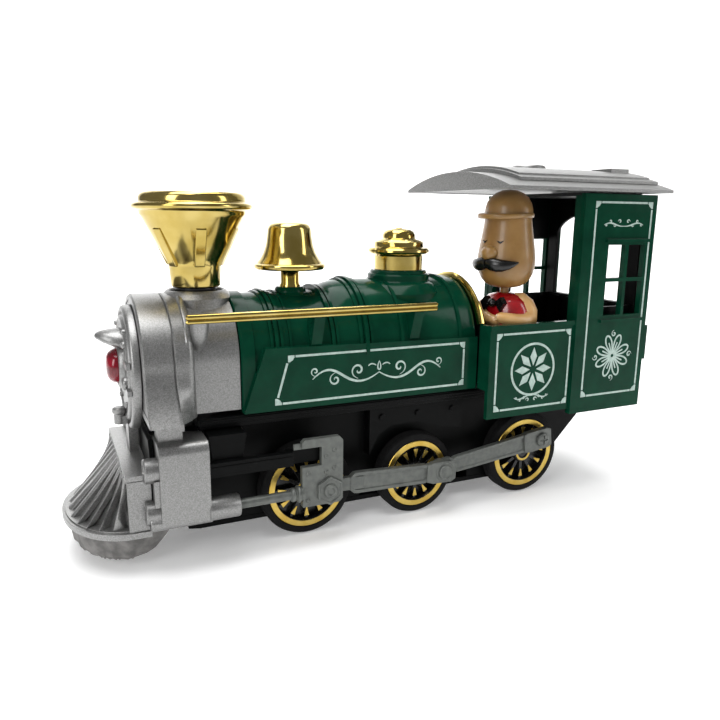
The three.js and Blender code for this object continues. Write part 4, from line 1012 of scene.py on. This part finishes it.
# %% Cowcatcher
def foot(scale, count=64):
    return [(-47 - 16 * scale * math.cos(a),
        22 * scale * math.sin(a)) for a in (-math.pi / 2 + math.pi * i / count for i in range(count + 1))]


bm = bmesh.new()
slab(bm, foot(1.0) + [(-43.0, 22), (-43.0, -22)], "Z", 10.0, 11.6)
slab(bm, foot(0.955) + [(-45.2, 21), (-45.2, -21)], "Z", 11.5, 11.95)
core_low = [(x + 0.9, y * 0.97, 11.7) for x, y in foot(0.87)] + [(-44.9, 17.6, 11.7),
    (-44.9, -17.6, 11.7)]
core_high = [(-47.3, -20.2 + 40.4 * i / 64, 25.0) for i in range(65)] + [(-44.9, 20.2, 25.0),
    (-44.9, -20.2, 25.0)]
skin(bm, [core_low, core_high])
SLATS = 11
for i in range(SLATS):
    t = (i + 0.5) / SLATS
    a = -math.pi / 2 + math.pi * (0.03 + 0.94 * t)
    low_x, low_y = -47 - 16 * 0.88 * math.cos(a), 22 * 0.88 * math.sin(a)
    high_x, high_y = -48.5, -20.4 + 40.8 * t
    out = Vector((-math.cos(a), math.sin(a), 0)).normalized()
    across = Vector((out.y, -out.x, 0))
    loops = []
    for s in (0.0, 0.25, 0.5, 0.75, 1.0):
        width, bulge = 1.1 + 0.85 * s, 0.5 * math.sin(math.pi * s)
        centre = Vector((high_x + (low_x - high_x) * s, high_y + (low_y - high_y) * s,
            25.4 - 13.7 * s)) - out * bulge * 0.4
        wide = Vector((0, 1, 0)).lerp(Vector((abs(across.x), across.y,
            0)) if across.y > 0 else Vector((-across.x, -across.y, 0)), s).normalized()
        nose = Vector((-1, 0, 0.35)).lerp(out + Vector((0, 0, 0.4)), s).normalized()
        loops.append([tuple(centre + wide * u * width + nose * v) for u,
            v in ((-1, -1.6), (-1, -0.15), (-0.55, 0.35), (0.55, 0.35), (1, -0.15), (1, -1.6))])
    skin(bm, loops)
deck = [(-48.6, -21.5), (-43.2, -21.5), (-43.2, -11), (-37, -11), (-37, 11), (-43.2, 11),
    (-43.2, 21.5), (-48.6, 21.5)]
slab(bm, deck, "Z", 24.6, 26.2)
for sign in (-1, 1):
    slab(bm, [(-48.3, 11.6), (-42.6, 11.6), (-42.6, 25), (-48.3, 25)], "Y", sign * 19.9,
        sign * 21.5)
turned(bm, [(0, 37.9), (1.4, 37.9), (1.8, 37.6), (1.9, 36.9), (1.8, 36.4), (1.5, 36.1), (1.5, 33.4),
    (0, 33.2)], (-47.0, 0.6, 0), "Z", 32)
brick(bm, (-47.0, -0.8, 33.4), (-44.0, 2.0, 35.6))
brick(bm, (-45.4, -3.2, 26), (-43.0, 3.2, 34))
stand_in("cowcatcher_casting", bm, "cowcatcher", [SILVER], "silver_paint", 0.22, 35, 2)

# %% [markdown]
# **Bulkhead.** A black plate closes the front of the chassis, so that nobody looks into it between
# the cowcatcher and the smokebox.

# %% Bulkhead behind the deck
bulkhead = bmesh.new()
slab(bulkhead, [(-20.5, 12), (20.5, 12), (20.5, 27), (17.5, 33.6), (-17.5, 33.6), (-20.5, 27)], "X",
    -42.4, -41.2)
lining("front_bulkhead", bulkhead, 0.2)

# %% [markdown]
# **Skirt.** The rough dark moulding under the cowcatcher is bridged from rings that shrink
# downwards. Fixed sine waves roughen them, so every run gives the same shape.

# %% Skirt
bm = bmesh.new()
rings = []
for scale, z, ripple, back in ((0.5, 4.0, 0.0, -45), (0.66, 2.2, 0.12, -45), (0.78, 2.7, 0.2, -44),
    (0.86, 4.6, 0.25, -42), (0.9, 7.2, 0.15, -40), (0.92, 9.9, 0.0, -38)):
    ring = [(x - ripple * math.sin(7.3 * i + z), y + ripple * math.cos(5.1 * i),
        z + ripple * math.sin(2.9 * i + 1))
            for i, (x, y) in enumerate(foot(scale))]
    rings.append(ring + [(back, 20 * scale, z), (back, -20 * scale, z)])
skin(bm, rings)
stand_in("rough_skirt", bm, "pilot_skirt", [SKIRT], "dark_skirt", 0)

# %% [markdown]
# ## Cab roof
#
# The roof is a shallow silver arch with closed ends, hollow underneath, so a second arch is carved
# out of the first. On top lie two raised panels like steps, a vent ring and two low blocks.

# %% Roof
def roof_arc(half, edge, crown, count=40):
    radius = (half * half + (crown - edge) ** 2) / (2 * (crown - edge))
    reach = math.asin(half / radius)
    return [(radius * math.sin(a), crown - radius + radius * math.cos(a)) for a in (-reach + 2 * reach * i / count for i in range(count + 1))]


def roof_loop(x, half, edge, crown, lip):
    return [(x, y, z) for y, z in roof_arc(half, edge + lip, crown) + [(half, edge), (-half, edge)]]


arched = bmesh.new()
skin(arched, [roof_loop(54.6, 28.9, 96.2, 101.9, 0.9), roof_loop(116.6, 28.9, 96.2, 101.9, 0.9)])
hollow = bmesh.new()
skin(hollow, [roof_loop(56.4, 27.2, 95.4, 100.5, 1.0), roof_loop(114.8, 27.2, 95.4, 100.5, 1.0)])
bm = carve(arched, hollow)
for x0, x1, half, edge, crown in ((62.2, 115.9, 23.2, 98.9, 103.2),
    (63.6, 115.0, 20.4, 100.2, 103.95)):
    skin(bm, [roof_loop(x0, half, edge, crown, 0.9), roof_loop(x1, half, edge, crown, 0.9)])
turned(bm, [(3.4, 102.6), (3.4, 104.3), (3.9, 104.7), (4.9, 104.8), (5.4, 104.4), (5.7, 103.6),
    (6.0, 103.4), (6.0, 102.6), (3.4, 102.6)], (83, 0, 0), "Z", 96)
for sign in (-1, 1):
    low_y, high_y = sorted((sign * 4, sign * 13))
    brick(bm, (106, low_y, 101.3), (113.6, high_y, 104.1))
stand_in("silver_roof", bm, "cab_roof", [SILVER], "silver_paint", 0.25, 30, 2)

# %% [markdown]
# ## Chassis, cab walls and inner parts
#
# These parts have flat faces, and the skeleton already has their true shape. They stay, with a
# material and softened edges. Their meshes are loose triangles, so three modifiers tidy them first:
# Weld joins the corners, a planar Decimate turns flat areas back into single faces, and then Bevel
# can round the real edges.

# %% Dress the flat parts
def dress(name, material, width=0.2, angle=35):
    obj = frame["nodes"][name]
    for i in range(max(1, len(obj.data.materials))):
        if i < len(obj.data.materials):
            obj.data.materials[i] = material
        else:
            obj.data.materials.append(material)
    weld = obj.modifiers.new("join", "WELD")
    weld.merge_threshold = 0.00001
    if width:
        flat = obj.modifiers.new("flat", "DECIMATE")
        flat.decimate_type = "DISSOLVE"
        flat.angle_limit = math.radians(1.0)
        edge = obj.modifiers.new("edge", "BEVEL")
        edge.width = width / 1000
        edge.segments = 2
        edge.limit_method = "ANGLE"
        edge.angle_limit = math.radians(angle)


for name, material, width in (("base_frame", BLACK, 0.25), ("base_plate", BLACK, 0.2),
    ("slide_bar_l", BLACK, 0.2),
                              ("slide_bar_r", BLACK, 0.2), ("cab_shell", GREEN, 0.3),
                              ("cab_liner", BLACK, 0.2), ("backhead", BLACK, 0.2),
                              ("motor_case", NYLON, 0.15), ("sound_box", NYLON, 0.3),
                              ("stack_spring", STEEL, 0), ("drive_pinion", NYLON, 0.05),
                              ("spring_gear", NYLON, 0.05), ("spring_arbor", STEEL, 0.05),
                              ("mainspring", STEEL, 0), ("body_screw", STEEL, 0.1)):
    dress(name, material, width)
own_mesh(frame["nodes"]["stack_spring"])

# %% [markdown]
# **Slide bar ends.** Each slide bar is carried on behind the notch of its crosshead, so that the
# notch shows black and not daylight.

# %% Slide bar ends
def make_bar_end(side_name, sign):
    """The bar runs on behind the crosshead's notch, where it fills the gap with black."""
    bm = bmesh.new()
    low, high = mm(f"slide_bar_{side_name}")
    brick(bm, (high[0] - 1.5, -21.85, 23.4), (6.4, -20.3, 27.3))
    facing(bm, sign)
    lining(f"slide_bar_end_{side_name}", bm, 0.15)


both(make_bar_end)

# %% [markdown]
# **Running board.** The black board between chassis and boiler narrows towards the rear, with a
# thinner step under it and a raised line along each side.

# %% Running board
bm = bmesh.new()
edge_line = [(-30, -17.6), (56, -17.6), (58, -16.6), (103, -16.6), (103, 16.6), (58, 16.6),
    (56, 17.6), (-30, 17.6)]
slab(bm, edge_line, "Z", 35.4, 37.2)
slab(bm, [(x + (0.4 if x < 0 else -0.4), y - math.copysign(0.7, y)) for x, y in edge_line], "Z",
    34.2, 35.6)
for sign in (-1, 1):
    low_y, high_y = sorted((sign * 17.4, sign * 18.0))
    brick(bm, (-29.4, low_y, 36.2), (55.6, high_y, 36.8))
stand_in("running_board", bm, "footplate", [BLACK], "black_plastic", 0.2)

# %% [markdown]
# **Rear and roof linings.** The inside of the cab is black. A plate with an arched window is carved
# for the rear wall, and a flat plate lies under the roof.

# %% Rear and roof linings
wall = bmesh.new()
slab(wall, [(-21.8, 40), (21.8, 40), (21.8, 95.2), (-21.8, 95.2)], "X", 111.9, 113.0)
window = bmesh.new()
slab(window, [(-17.2, 60.8), (17.2, 60.8)] + [(17.2 * math.cos(a),
    82.5 + 7.5 * math.sin(a)) for a in (math.pi * i / 24 for i in range(25))], "X", 110, 115)
lining("rear_lining", carve(wall, window), 0.15)
bm = bmesh.new()
brick(bm, (88.2, -21.4, 95.0), (111.6, 21.4, 96.1))
lining("roof_lining", bm, 0.15)


# %% [markdown]
# **Side linings.** The same for the door walls: a thin plate inside each, with the lower part of
# the window cut out.

# %% Side linings
def make_lining(side_name, sign):
    side_wall = bmesh.new()
    slab(side_wall, [(88.2, 60.8), (111.7, 60.8), (111.7, 95.2), (88.2, 95.2)], "Y", -22.5, -22.0)
    panes = bmesh.new()
    brick(panes, (95.8, -23, 58), (111.9, -21.5, 80.9))
    bm = carve(side_wall, panes)
    facing(bm, sign)
    lining(f"side_lining_{side_name}", bm, 0.1)


both(make_lining)

# %% [markdown]
# ## Printed borders and ornaments
#
# The real print is a very thin layer of pale ink. Each border is four thin strips with a small
# quarter-round ornament in every corner. The flourishes are curves with a round bevel, made into a
# mesh and pressed almost flat. There is no lettering: a plain scroll, a star in a ring, leafy sprays
# and a rosette of loops fill the panels.

# %% Ink helpers
INK = 0.05


def lay(name, bm):
    """Ink has no slot and stands for no part of the skeleton."""
    piece(name, bm, "locomotive", [PRINT], None, (), 0)


def strip(bm, start, end, width, y):
    outline = beam(start, end, [(0, width / 2), (1, width / 2)])
    return slab(bm, outline, "Y", y - INK, y + 0.05)


def border(bm, corners, y, width=0.6, ornament=1.5):
    """A closed border through the corners, with a quarter-round of ink tucked into each."""
    centre = (sum(c[0] for c in corners) / len(corners), sum(c[1] for c in corners) / len(corners))
    for a, b in zip(corners, corners[1:] + corners[:1]):
        length = math.hypot(b[0] - a[0], b[1] - a[1])
        ux, uz = (b[0] - a[0]) / length, (b[1] - a[1]) / length
        strip(bm, (a[0] + ux * ornament * 1.2, a[1] + uz * ornament * 1.2),
            (b[0] - ux * ornament * 1.2, b[1] - uz * ornament * 1.2), width, y)
    for x, z in corners:
        sx_in, sz_in = (1 if centre[0] > x else -1), (1 if centre[1] > z else -1)
        petal = [(x - sx_in * 0.3, z - sz_in * 0.3), (x + sx_in * ornament, z - sz_in * 0.3),
            (x + sx_in * ornament, z + sz_in * 0.3)]
        petal += [(x + sx_in * (0.35 + ornament * 0.62 * math.cos(a)),
            z + sz_in * (0.35 + ornament * 0.62 * math.sin(a)))
                  for a in (math.radians(d) for d in (15, 35, 55, 75))]
        petal += [(x + sx_in * 0.3, z + sz_in * ornament), (x - sx_in * 0.3, z + sz_in * ornament)]
        slab(bm, petal, "Y", y - INK, y + 0.05)


def stroke(bm, points, width, y, taper=0.15):
    """A pen stroke: a smooth curve with a thick middle and thin ends, pressed flat on the plane y."""
    curve = bpy.data.curves.new("stroke", "CURVE")
    curve.dimensions = "3D"
    curve.bevel_depth = width / 2000
    curve.bevel_resolution = 2
    curve.use_fill_caps = True
    spline = curve.splines.new("NURBS")
    spline.points.add(len(points) - 1)
    for i, (point, (x, z)) in enumerate(zip(spline.points, points)):
        point.co = (*at(x, y, z), 1)
        point.radius = taper + (1 - taper) * math.sin(math.pi * (i + 0.4) / (len(points) - 0.2))
    spline.order_u = min(4, len(points))
    spline.use_endpoint_u = True
    spline.resolution_u = 6
    obj = plain("stroke", curve)
    bpy.context.view_layer.update()
    mesh = bpy.data.meshes.new_from_object(obj.evaluated_get(bpy.context.evaluated_depsgraph_get()))
    before = set(bm.verts)
    bm.from_mesh(mesh)
    made = [v for v in bm.verts if v not in before]
    bmesh.ops.scale(bm, vec=(1, 0.12, 1), space=Matrix.Translation(-at(0, y, 0)), verts=made)
    bpy.data.objects.remove(obj)
    return made


def spiral(cx, cz, radius, start, turns, count=14, grow=0.1):
    """Points of a curl that winds in towards its centre."""
    return [(cx + radius * (1 - (1 - grow) * i / count) * math.cos(start + 2 * math.pi * turns * i / count),
             cz + radius * (1 - (1 - grow) * i / count) * math.sin(start + 2 * math.pi * turns * i / count)) for i in range(count + 1)]


def spray(bm, cx, cz, reach, y, lean=1):
    """Two leafy curls that mirror each other about cx."""
    for way in (-1, 1):
        stem = [(cx, cz - 0.9 * lean), (cx + way * reach * 0.25, cz - 1.0 * lean),
            (cx + way * reach * 0.55, cz + 0.1 * lean),
                (cx + way * reach * 0.8, cz + 0.2 * lean), (cx + way * reach, cz - 0.5 * lean)]
        stroke(bm, stem, 0.5, y)
        for share, turn_way, size in ((0.22, 1, 0.75), (0.45, -1, 0.6), (0.68, 1, 0.5),
            (0.9, -1, 0.4)):
            stroke(bm, spiral(cx + way * reach * share, cz + lean * 0.5 * turn_way, size,
                math.pi * (0.5 - 0.5 * way), way * 0.9 * turn_way), 0.42, y)


# %% [markdown]
# Each side has three prints: the scroll on the long panel, the star on the cab panel and the
# rosette on the door. All are drawn on the left and turned over for the right.

# %% Side panels, cab panels and doors
def make_print(side_name, sign):
    bm = bmesh.new()
    border(bm, [(-9.3, 39.4), (-5.6, 52.0), (49.0, 51.9), (49.0, 39.4)], -18.2)
    for way in (-1, 1):
        cx = 21
        stroke(bm, [(cx, 45.6), (cx + way * 4, 43.0), (cx + way * 9, 43.6), (cx + way * 13, 47.4),
            (cx + way * 17, 48.0), (cx + way * 20, 45.2)], 0.75, -18.2)
        stroke(bm, spiral(cx + way * 6.5, 46.6, 2.3, math.pi * 1.5, way * 1.3), 0.6, -18.2)
        stroke(bm, spiral(cx + way * 13.4, 44.6, 1.9, math.pi * 0.5, -way * 1.3), 0.55, -18.2)
        stroke(bm, spiral(cx + way * 19.3, 47.3, 1.3, math.pi * 1.5, way * 1.2), 0.45, -18.2)
        stroke(bm, [(cx + way * 1.0, 47.6), (cx + way * 2.4, 48.6), (cx + way * 3.4, 47.6)], 0.5,
            -18.2)
    stroke(bm, [(21, 48.8), (20.2, 47.2), (21, 45.4), (21.8, 47.2), (21, 48.8)], 0.5, -18.2)
    facing(bm, sign)
    lay(f"side_panel_print_{side_name}", bm)
    bm = bmesh.new()
    border(bm, [(57.0, 31.4), (57.0, 54.6), (84.2, 54.6), (84.2, 31.4)], -23.8, 0.6, 1.7)
    for a in around(8):
        petal = [(70.6 + 1.2 * math.cos(a), 43.2 + 1.2 * math.sin(a)),
            (70.6 + 4.2 * math.cos(a - 0.30), 43.2 + 4.2 * math.sin(a - 0.30)),
                 (70.6 + 6.8 * math.cos(a), 43.2 + 6.8 * math.sin(a)),
                 (70.6 + 4.2 * math.cos(a + 0.30), 43.2 + 4.2 * math.sin(a + 0.30))]
        slab(bm, petal, "Y", -23.85, -23.75)
    ring = bmesh.new()
    turned(ring, [(7.6, -23.85), (8.3, -23.85), (8.3, -23.7), (7.6, -23.7), (7.6, -23.85)],
        (70.6, 0, 43.2), "Y", 64)
    merge(bm, ring)
    spray(bm, 70.6, 34.2, 6.5, -23.8, -1)
    facing(bm, sign)
    lay(f"cab_panel_print_{side_name}", bm)
    bm = bmesh.new()
    border(bm, [(90.0, 32.8), (90.0, 93.2), (112.8, 93.2), (112.8, 32.8)], -24.6, 0.6, 1.7)
    spray(bm, 101.6, 87.0, 8.0, -24.6)
    for i in range(8):
        a = 2 * math.pi * (i + 0.5) / 8
        u, v = math.cos(a), math.sin(a)
        loop = [(101.6 + u * r - v * w, 45.2 + v * r + u * w) for r,
            w in ((0.6, 0), (3.0, 1.1), (5.8, 1.5), (7.6, 0), (5.8, -1.5), (3.0, -1.1), (0.6, 0))]
        stroke(bm, loop, 0.6, -24.6, 0.6)
        stroke(bm, [(101.6 + u * 1.2, 45.2 + v * 1.2), (101.6 + u * 4.6, 45.2 + v * 4.6)], 0.7,
            -24.6)
    for a in (0, math.pi / 2, math.pi, 3 * math.pi / 2):
        stroke(bm, spiral(101.6 + 7.2 * math.cos(a), 45.2 + 7.2 * math.sin(a), 1.1, a, 1.2), 0.5,
            -24.6)
    facing(bm, sign)
    lay(f"door_print_{side_name}", bm)


both(make_print)
print("print laid on both sides")

# %% [markdown]
# ## Driver
#
# The driver is a vinyl figure with a bobbing head on a thin post. The face is plain and calm: closed
# eyes, a soft nose and a glossy black moustache. The head, cap and moustache ride on the nodding
# body; the torso and arms belong to the locomotive.

# %% Driver's head
DX, DY = 67.6, -11.5
LOOK = Vector((-0.95, -0.32, 0)).normalized()
SIDEWAYS = Vector((-LOOK.y, LOOK.x, 0))


def on_head(ahead_mm, side_mm, z):
    return (DX + LOOK.x * ahead_mm + SIDEWAYS.x * side_mm,
        DY + LOOK.y * ahead_mm + SIDEWAYS.y * side_mm, z)


def head_radius(z):
    profile = ((67.4, 3.2), (68.4, 5.6), (70.0, 7.5), (72.0, 8.4), (74.5, 8.8), (77.0, 8.7),
        (80.0, 8.3), (84.0, 7.6), (88.6, 7.0))
    for (z0, r0), (z1, r1) in zip(profile, profile[1:]):
        if z <= z1:
            t = max(0.0, (z - z0) / (z1 - z0))
            t = t * t * (3 - 2 * t)
            return r0 + (r1 - r0) * t
    return profile[-1][1]


bm = bmesh.new()
turned(bm, [(2.3, 67.6), (3.4, 67.3), (4.8, 67.7), (6.2, 68.5), (7.5, 70.0), (8.3, 71.8),
    (8.75, 73.6), (8.8, 75.2), (8.7, 77), (8.35, 79.6),
            (7.85, 82.6), (7.3, 86), (7.0, 88.9), (2.3, 88.9), (2.3, 67.6)], (DX, DY, 0), "Z", 96)
nose = bmesh.ops.create_uvsphere(bm, u_segments=32, v_segments=20, radius=0.0026)["verts"]
bmesh.ops.scale(bm, vec=(1.0, 1.0, 0.86), verts=nose)
bmesh.ops.translate(bm, vec=at(*on_head(8.9, 0, 77.9)), verts=nose)
stand_in("driver_face", bm, "driver_head", [SKIN], "figure_tan", 0, 60)

# %% [markdown]
# **Moustache and eyes.** Both are closed curves of ovals that follow the head round: thick ones for
# the moustache, and two thin calm arcs for the shut eyes.

# %% Moustache and eyes
def outward(angle):
    """The level direction out of the head, at this angle from where it looks."""
    return Vector((*[on_head(math.cos(angle), math.sin(angle), 0)[k] - (DX, DY)[k] for k in (0, 1)],
        0))


def oval(centre, out, radius, squeeze, count):
    """An upright ring of points, `squeeze` times as thick as it is tall."""
    return [tuple(centre + out * radius * squeeze * math.cos(a) + Vector((0, 0,
        radius * math.sin(a))))
            for a in around(count)]


bm = bmesh.new()
for way in (-1, 1):
    loops = []
    for s, radius in ((0.0, 1.5), (0.12, 1.9), (0.3, 2.0), (0.5, 1.75), (0.7, 1.3), (0.85, 0.8),
        (1.0, 0.2)):
        angle = way * (0.02 + 0.98 * s)
        z = 74.9 - 0.9 * math.sin(math.pi * s * 0.9) + 0.7 * s
        reach = head_radius(z) + 0.7 + 0.5 * (1 - s)
        centre = Vector(on_head(reach * math.cos(angle), reach * math.sin(angle), z))
        loops.append(oval(centre, outward(angle), radius, 0.75, 20))
    skin(bm, loops)
for way in (-1, 1):
    loops = []
    for i in range(9):
        s = i / 8
        angle = way * (0.22 + 0.26 * s)
        z = 81.6 - 0.55 * math.sin(math.pi * s)
        reach = head_radius(z) + 0.02
        centre = Vector(on_head(reach * math.cos(angle), reach * math.sin(angle), z))
        size = 0.08 + 0.22 * math.sin(math.pi * s)
        loops.append(oval(centre, outward(angle), size, 0.6, 8))
    skin(bm, loops)
piece("driver_moustache", bm, BODY_OF["driver_head"], [BLACK_GLOSS], "black_plastic", (), 0, 60)

# %% [markdown]
# **Cap.** A turned dome over a brim. The brim is a row of rings whose radius grows towards the
# front, where it also dips a little.

# %% Cap
bm = bmesh.new()
turned(bm, [(0, 96.6), (2.2, 96.4), (4.2, 95.6), (5.7, 94.3), (6.7, 92.7), (7.15, 91.0),
    (7.3, 89.4), (7.3, 88.4), (6.0, 88.3), (0, 88.3)], (DX, DY, 0), "Z", 96)
loops = []
for z, grow in ((88.35, -0.35), (88.5, 0.0), (89.3, 0.1), (89.75, -0.1), (89.9, -0.6)):
    ring = []
    for a in around(96):
        lean = max(0.0, math.cos(a)) ** 1.5
        radius = 7.6 + 2.8 * lean + grow
        ring.append(on_head(radius * math.cos(a), radius * math.sin(a), z - 0.5 * lean))
    loops.append(ring)
skin(bm, loops)
stand_in("driver_hat", bm, "driver_cap", [SKIN], "figure_cap", 0, 60)

# %% [markdown]
# **Torso, bow and arms.** The torso is bridged from ellipses, and the bow is two small wedges and a
# knot. An arm is a row of rings carried through a few stations.

# %% Torso, bow and arms
bm = bmesh.new()
loops = []
for z, a_half, b_half in ((40.6, 5.6, 4.9), (46, 6.6, 5.3), (52, 7.6, 5.7), (57, 8.2, 5.9),
    (60.5, 8.3, 5.7), (63, 7.2, 5.2), (64.8, 5.0, 4.0), (65.6, 2.4, 2.4)):
    loops.append([on_head(b_half * math.cos(a), a_half * math.sin(a), z) for a in around(64)])
skin(bm, loops)
turned(bm, [(0, 65.2), (1.4, 65.2), (1.4, 70.2), (0, 70.2)], (DX, DY, 0), "Z", 32, 1)
for way in (-1, 1):
    knot = [(5.6, way * 0.3, 62.8), (6.4, way * 2.8, 64.6), (6.5, way * 4.2, 62.8),
        (6.5, way * 3.0, 60.2)]
    face_pts = [on_head(*p) for p in knot]
    back_pts = [on_head(p[0] - 2.2, p[1], p[2]) for p in knot]
    skin(bm, [face_pts, back_pts], 2)
turned_knot = bmesh.ops.create_uvsphere(bm, u_segments=20, v_segments=12, radius=0.0013)["verts"]
bmesh.ops.translate(bm, vec=at(*on_head(6.3, 0, 62.8)), verts=turned_knot)
for f in {f for v in turned_knot for f in v.link_faces}:
    f.material_index = 2


def limb(bm, points, material):
    """A limb through (point, radius) stations."""
    loops = []
    for i, (point, radius) in enumerate(points):
        before, after = Vector(points[max(0, i - 1)][0]), Vector(points[min(len(points) - 1,
            i + 1)][0])
        way = (after - before).normalized()
        u = way.cross(Vector((0, 0, 1))).normalized()
        w = u.cross(way).normalized()
        loops.append([tuple(Vector(point) + (u * math.cos(a) + w * math.sin(a)) * radius) for a in around(28)])
    skin(bm, loops, material)


limb(bm, [((69.6, -13.6, 64.2), 1.4), ((70.8, -14.8, 63.6), 2.5), ((72.0, -16.2, 61.8), 3.0),
    ((72.6, -17.4, 59.6), 2.9), ((71.8, -18.8, 58.0), 2.6),
          ((69.2, -19.6, 57.5), 2.2), ((66.0, -19.9, 57.9), 2.0), ((62.8, -19.7, 58.5), 1.9),
          ((60.8, -19.2, 58.9), 1.7), ((59.6, -18.8, 59.1), 1.0)], 3)
limb(bm, [((64.4, -7.4, 62.8), 1.4), ((63.4, -7.4, 61.6), 2.2), ((62.6, -8.4, 59.6), 2.3),
    ((62.2, -10.6, 58.0), 2.1), ((62.2, -13.0, 57.3), 1.9),
          ((62.8, -14.8, 57.3), 1.6), ((63.4, -15.6, 57.4), 1.0)], 3)
stand_in("driver_torso", bm, "driver_body", [RED, SKIN, BLACK_GLOSS, SKIN_PALE], "figure_red", 0,
    60)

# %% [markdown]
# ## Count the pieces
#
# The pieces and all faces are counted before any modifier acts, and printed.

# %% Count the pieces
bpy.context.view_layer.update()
total = sum(len(o.data.polygons) for o in bpy.data.objects if o.type == "MESH")
print("pieces", len(PIECES), "faces before modifiers", total)
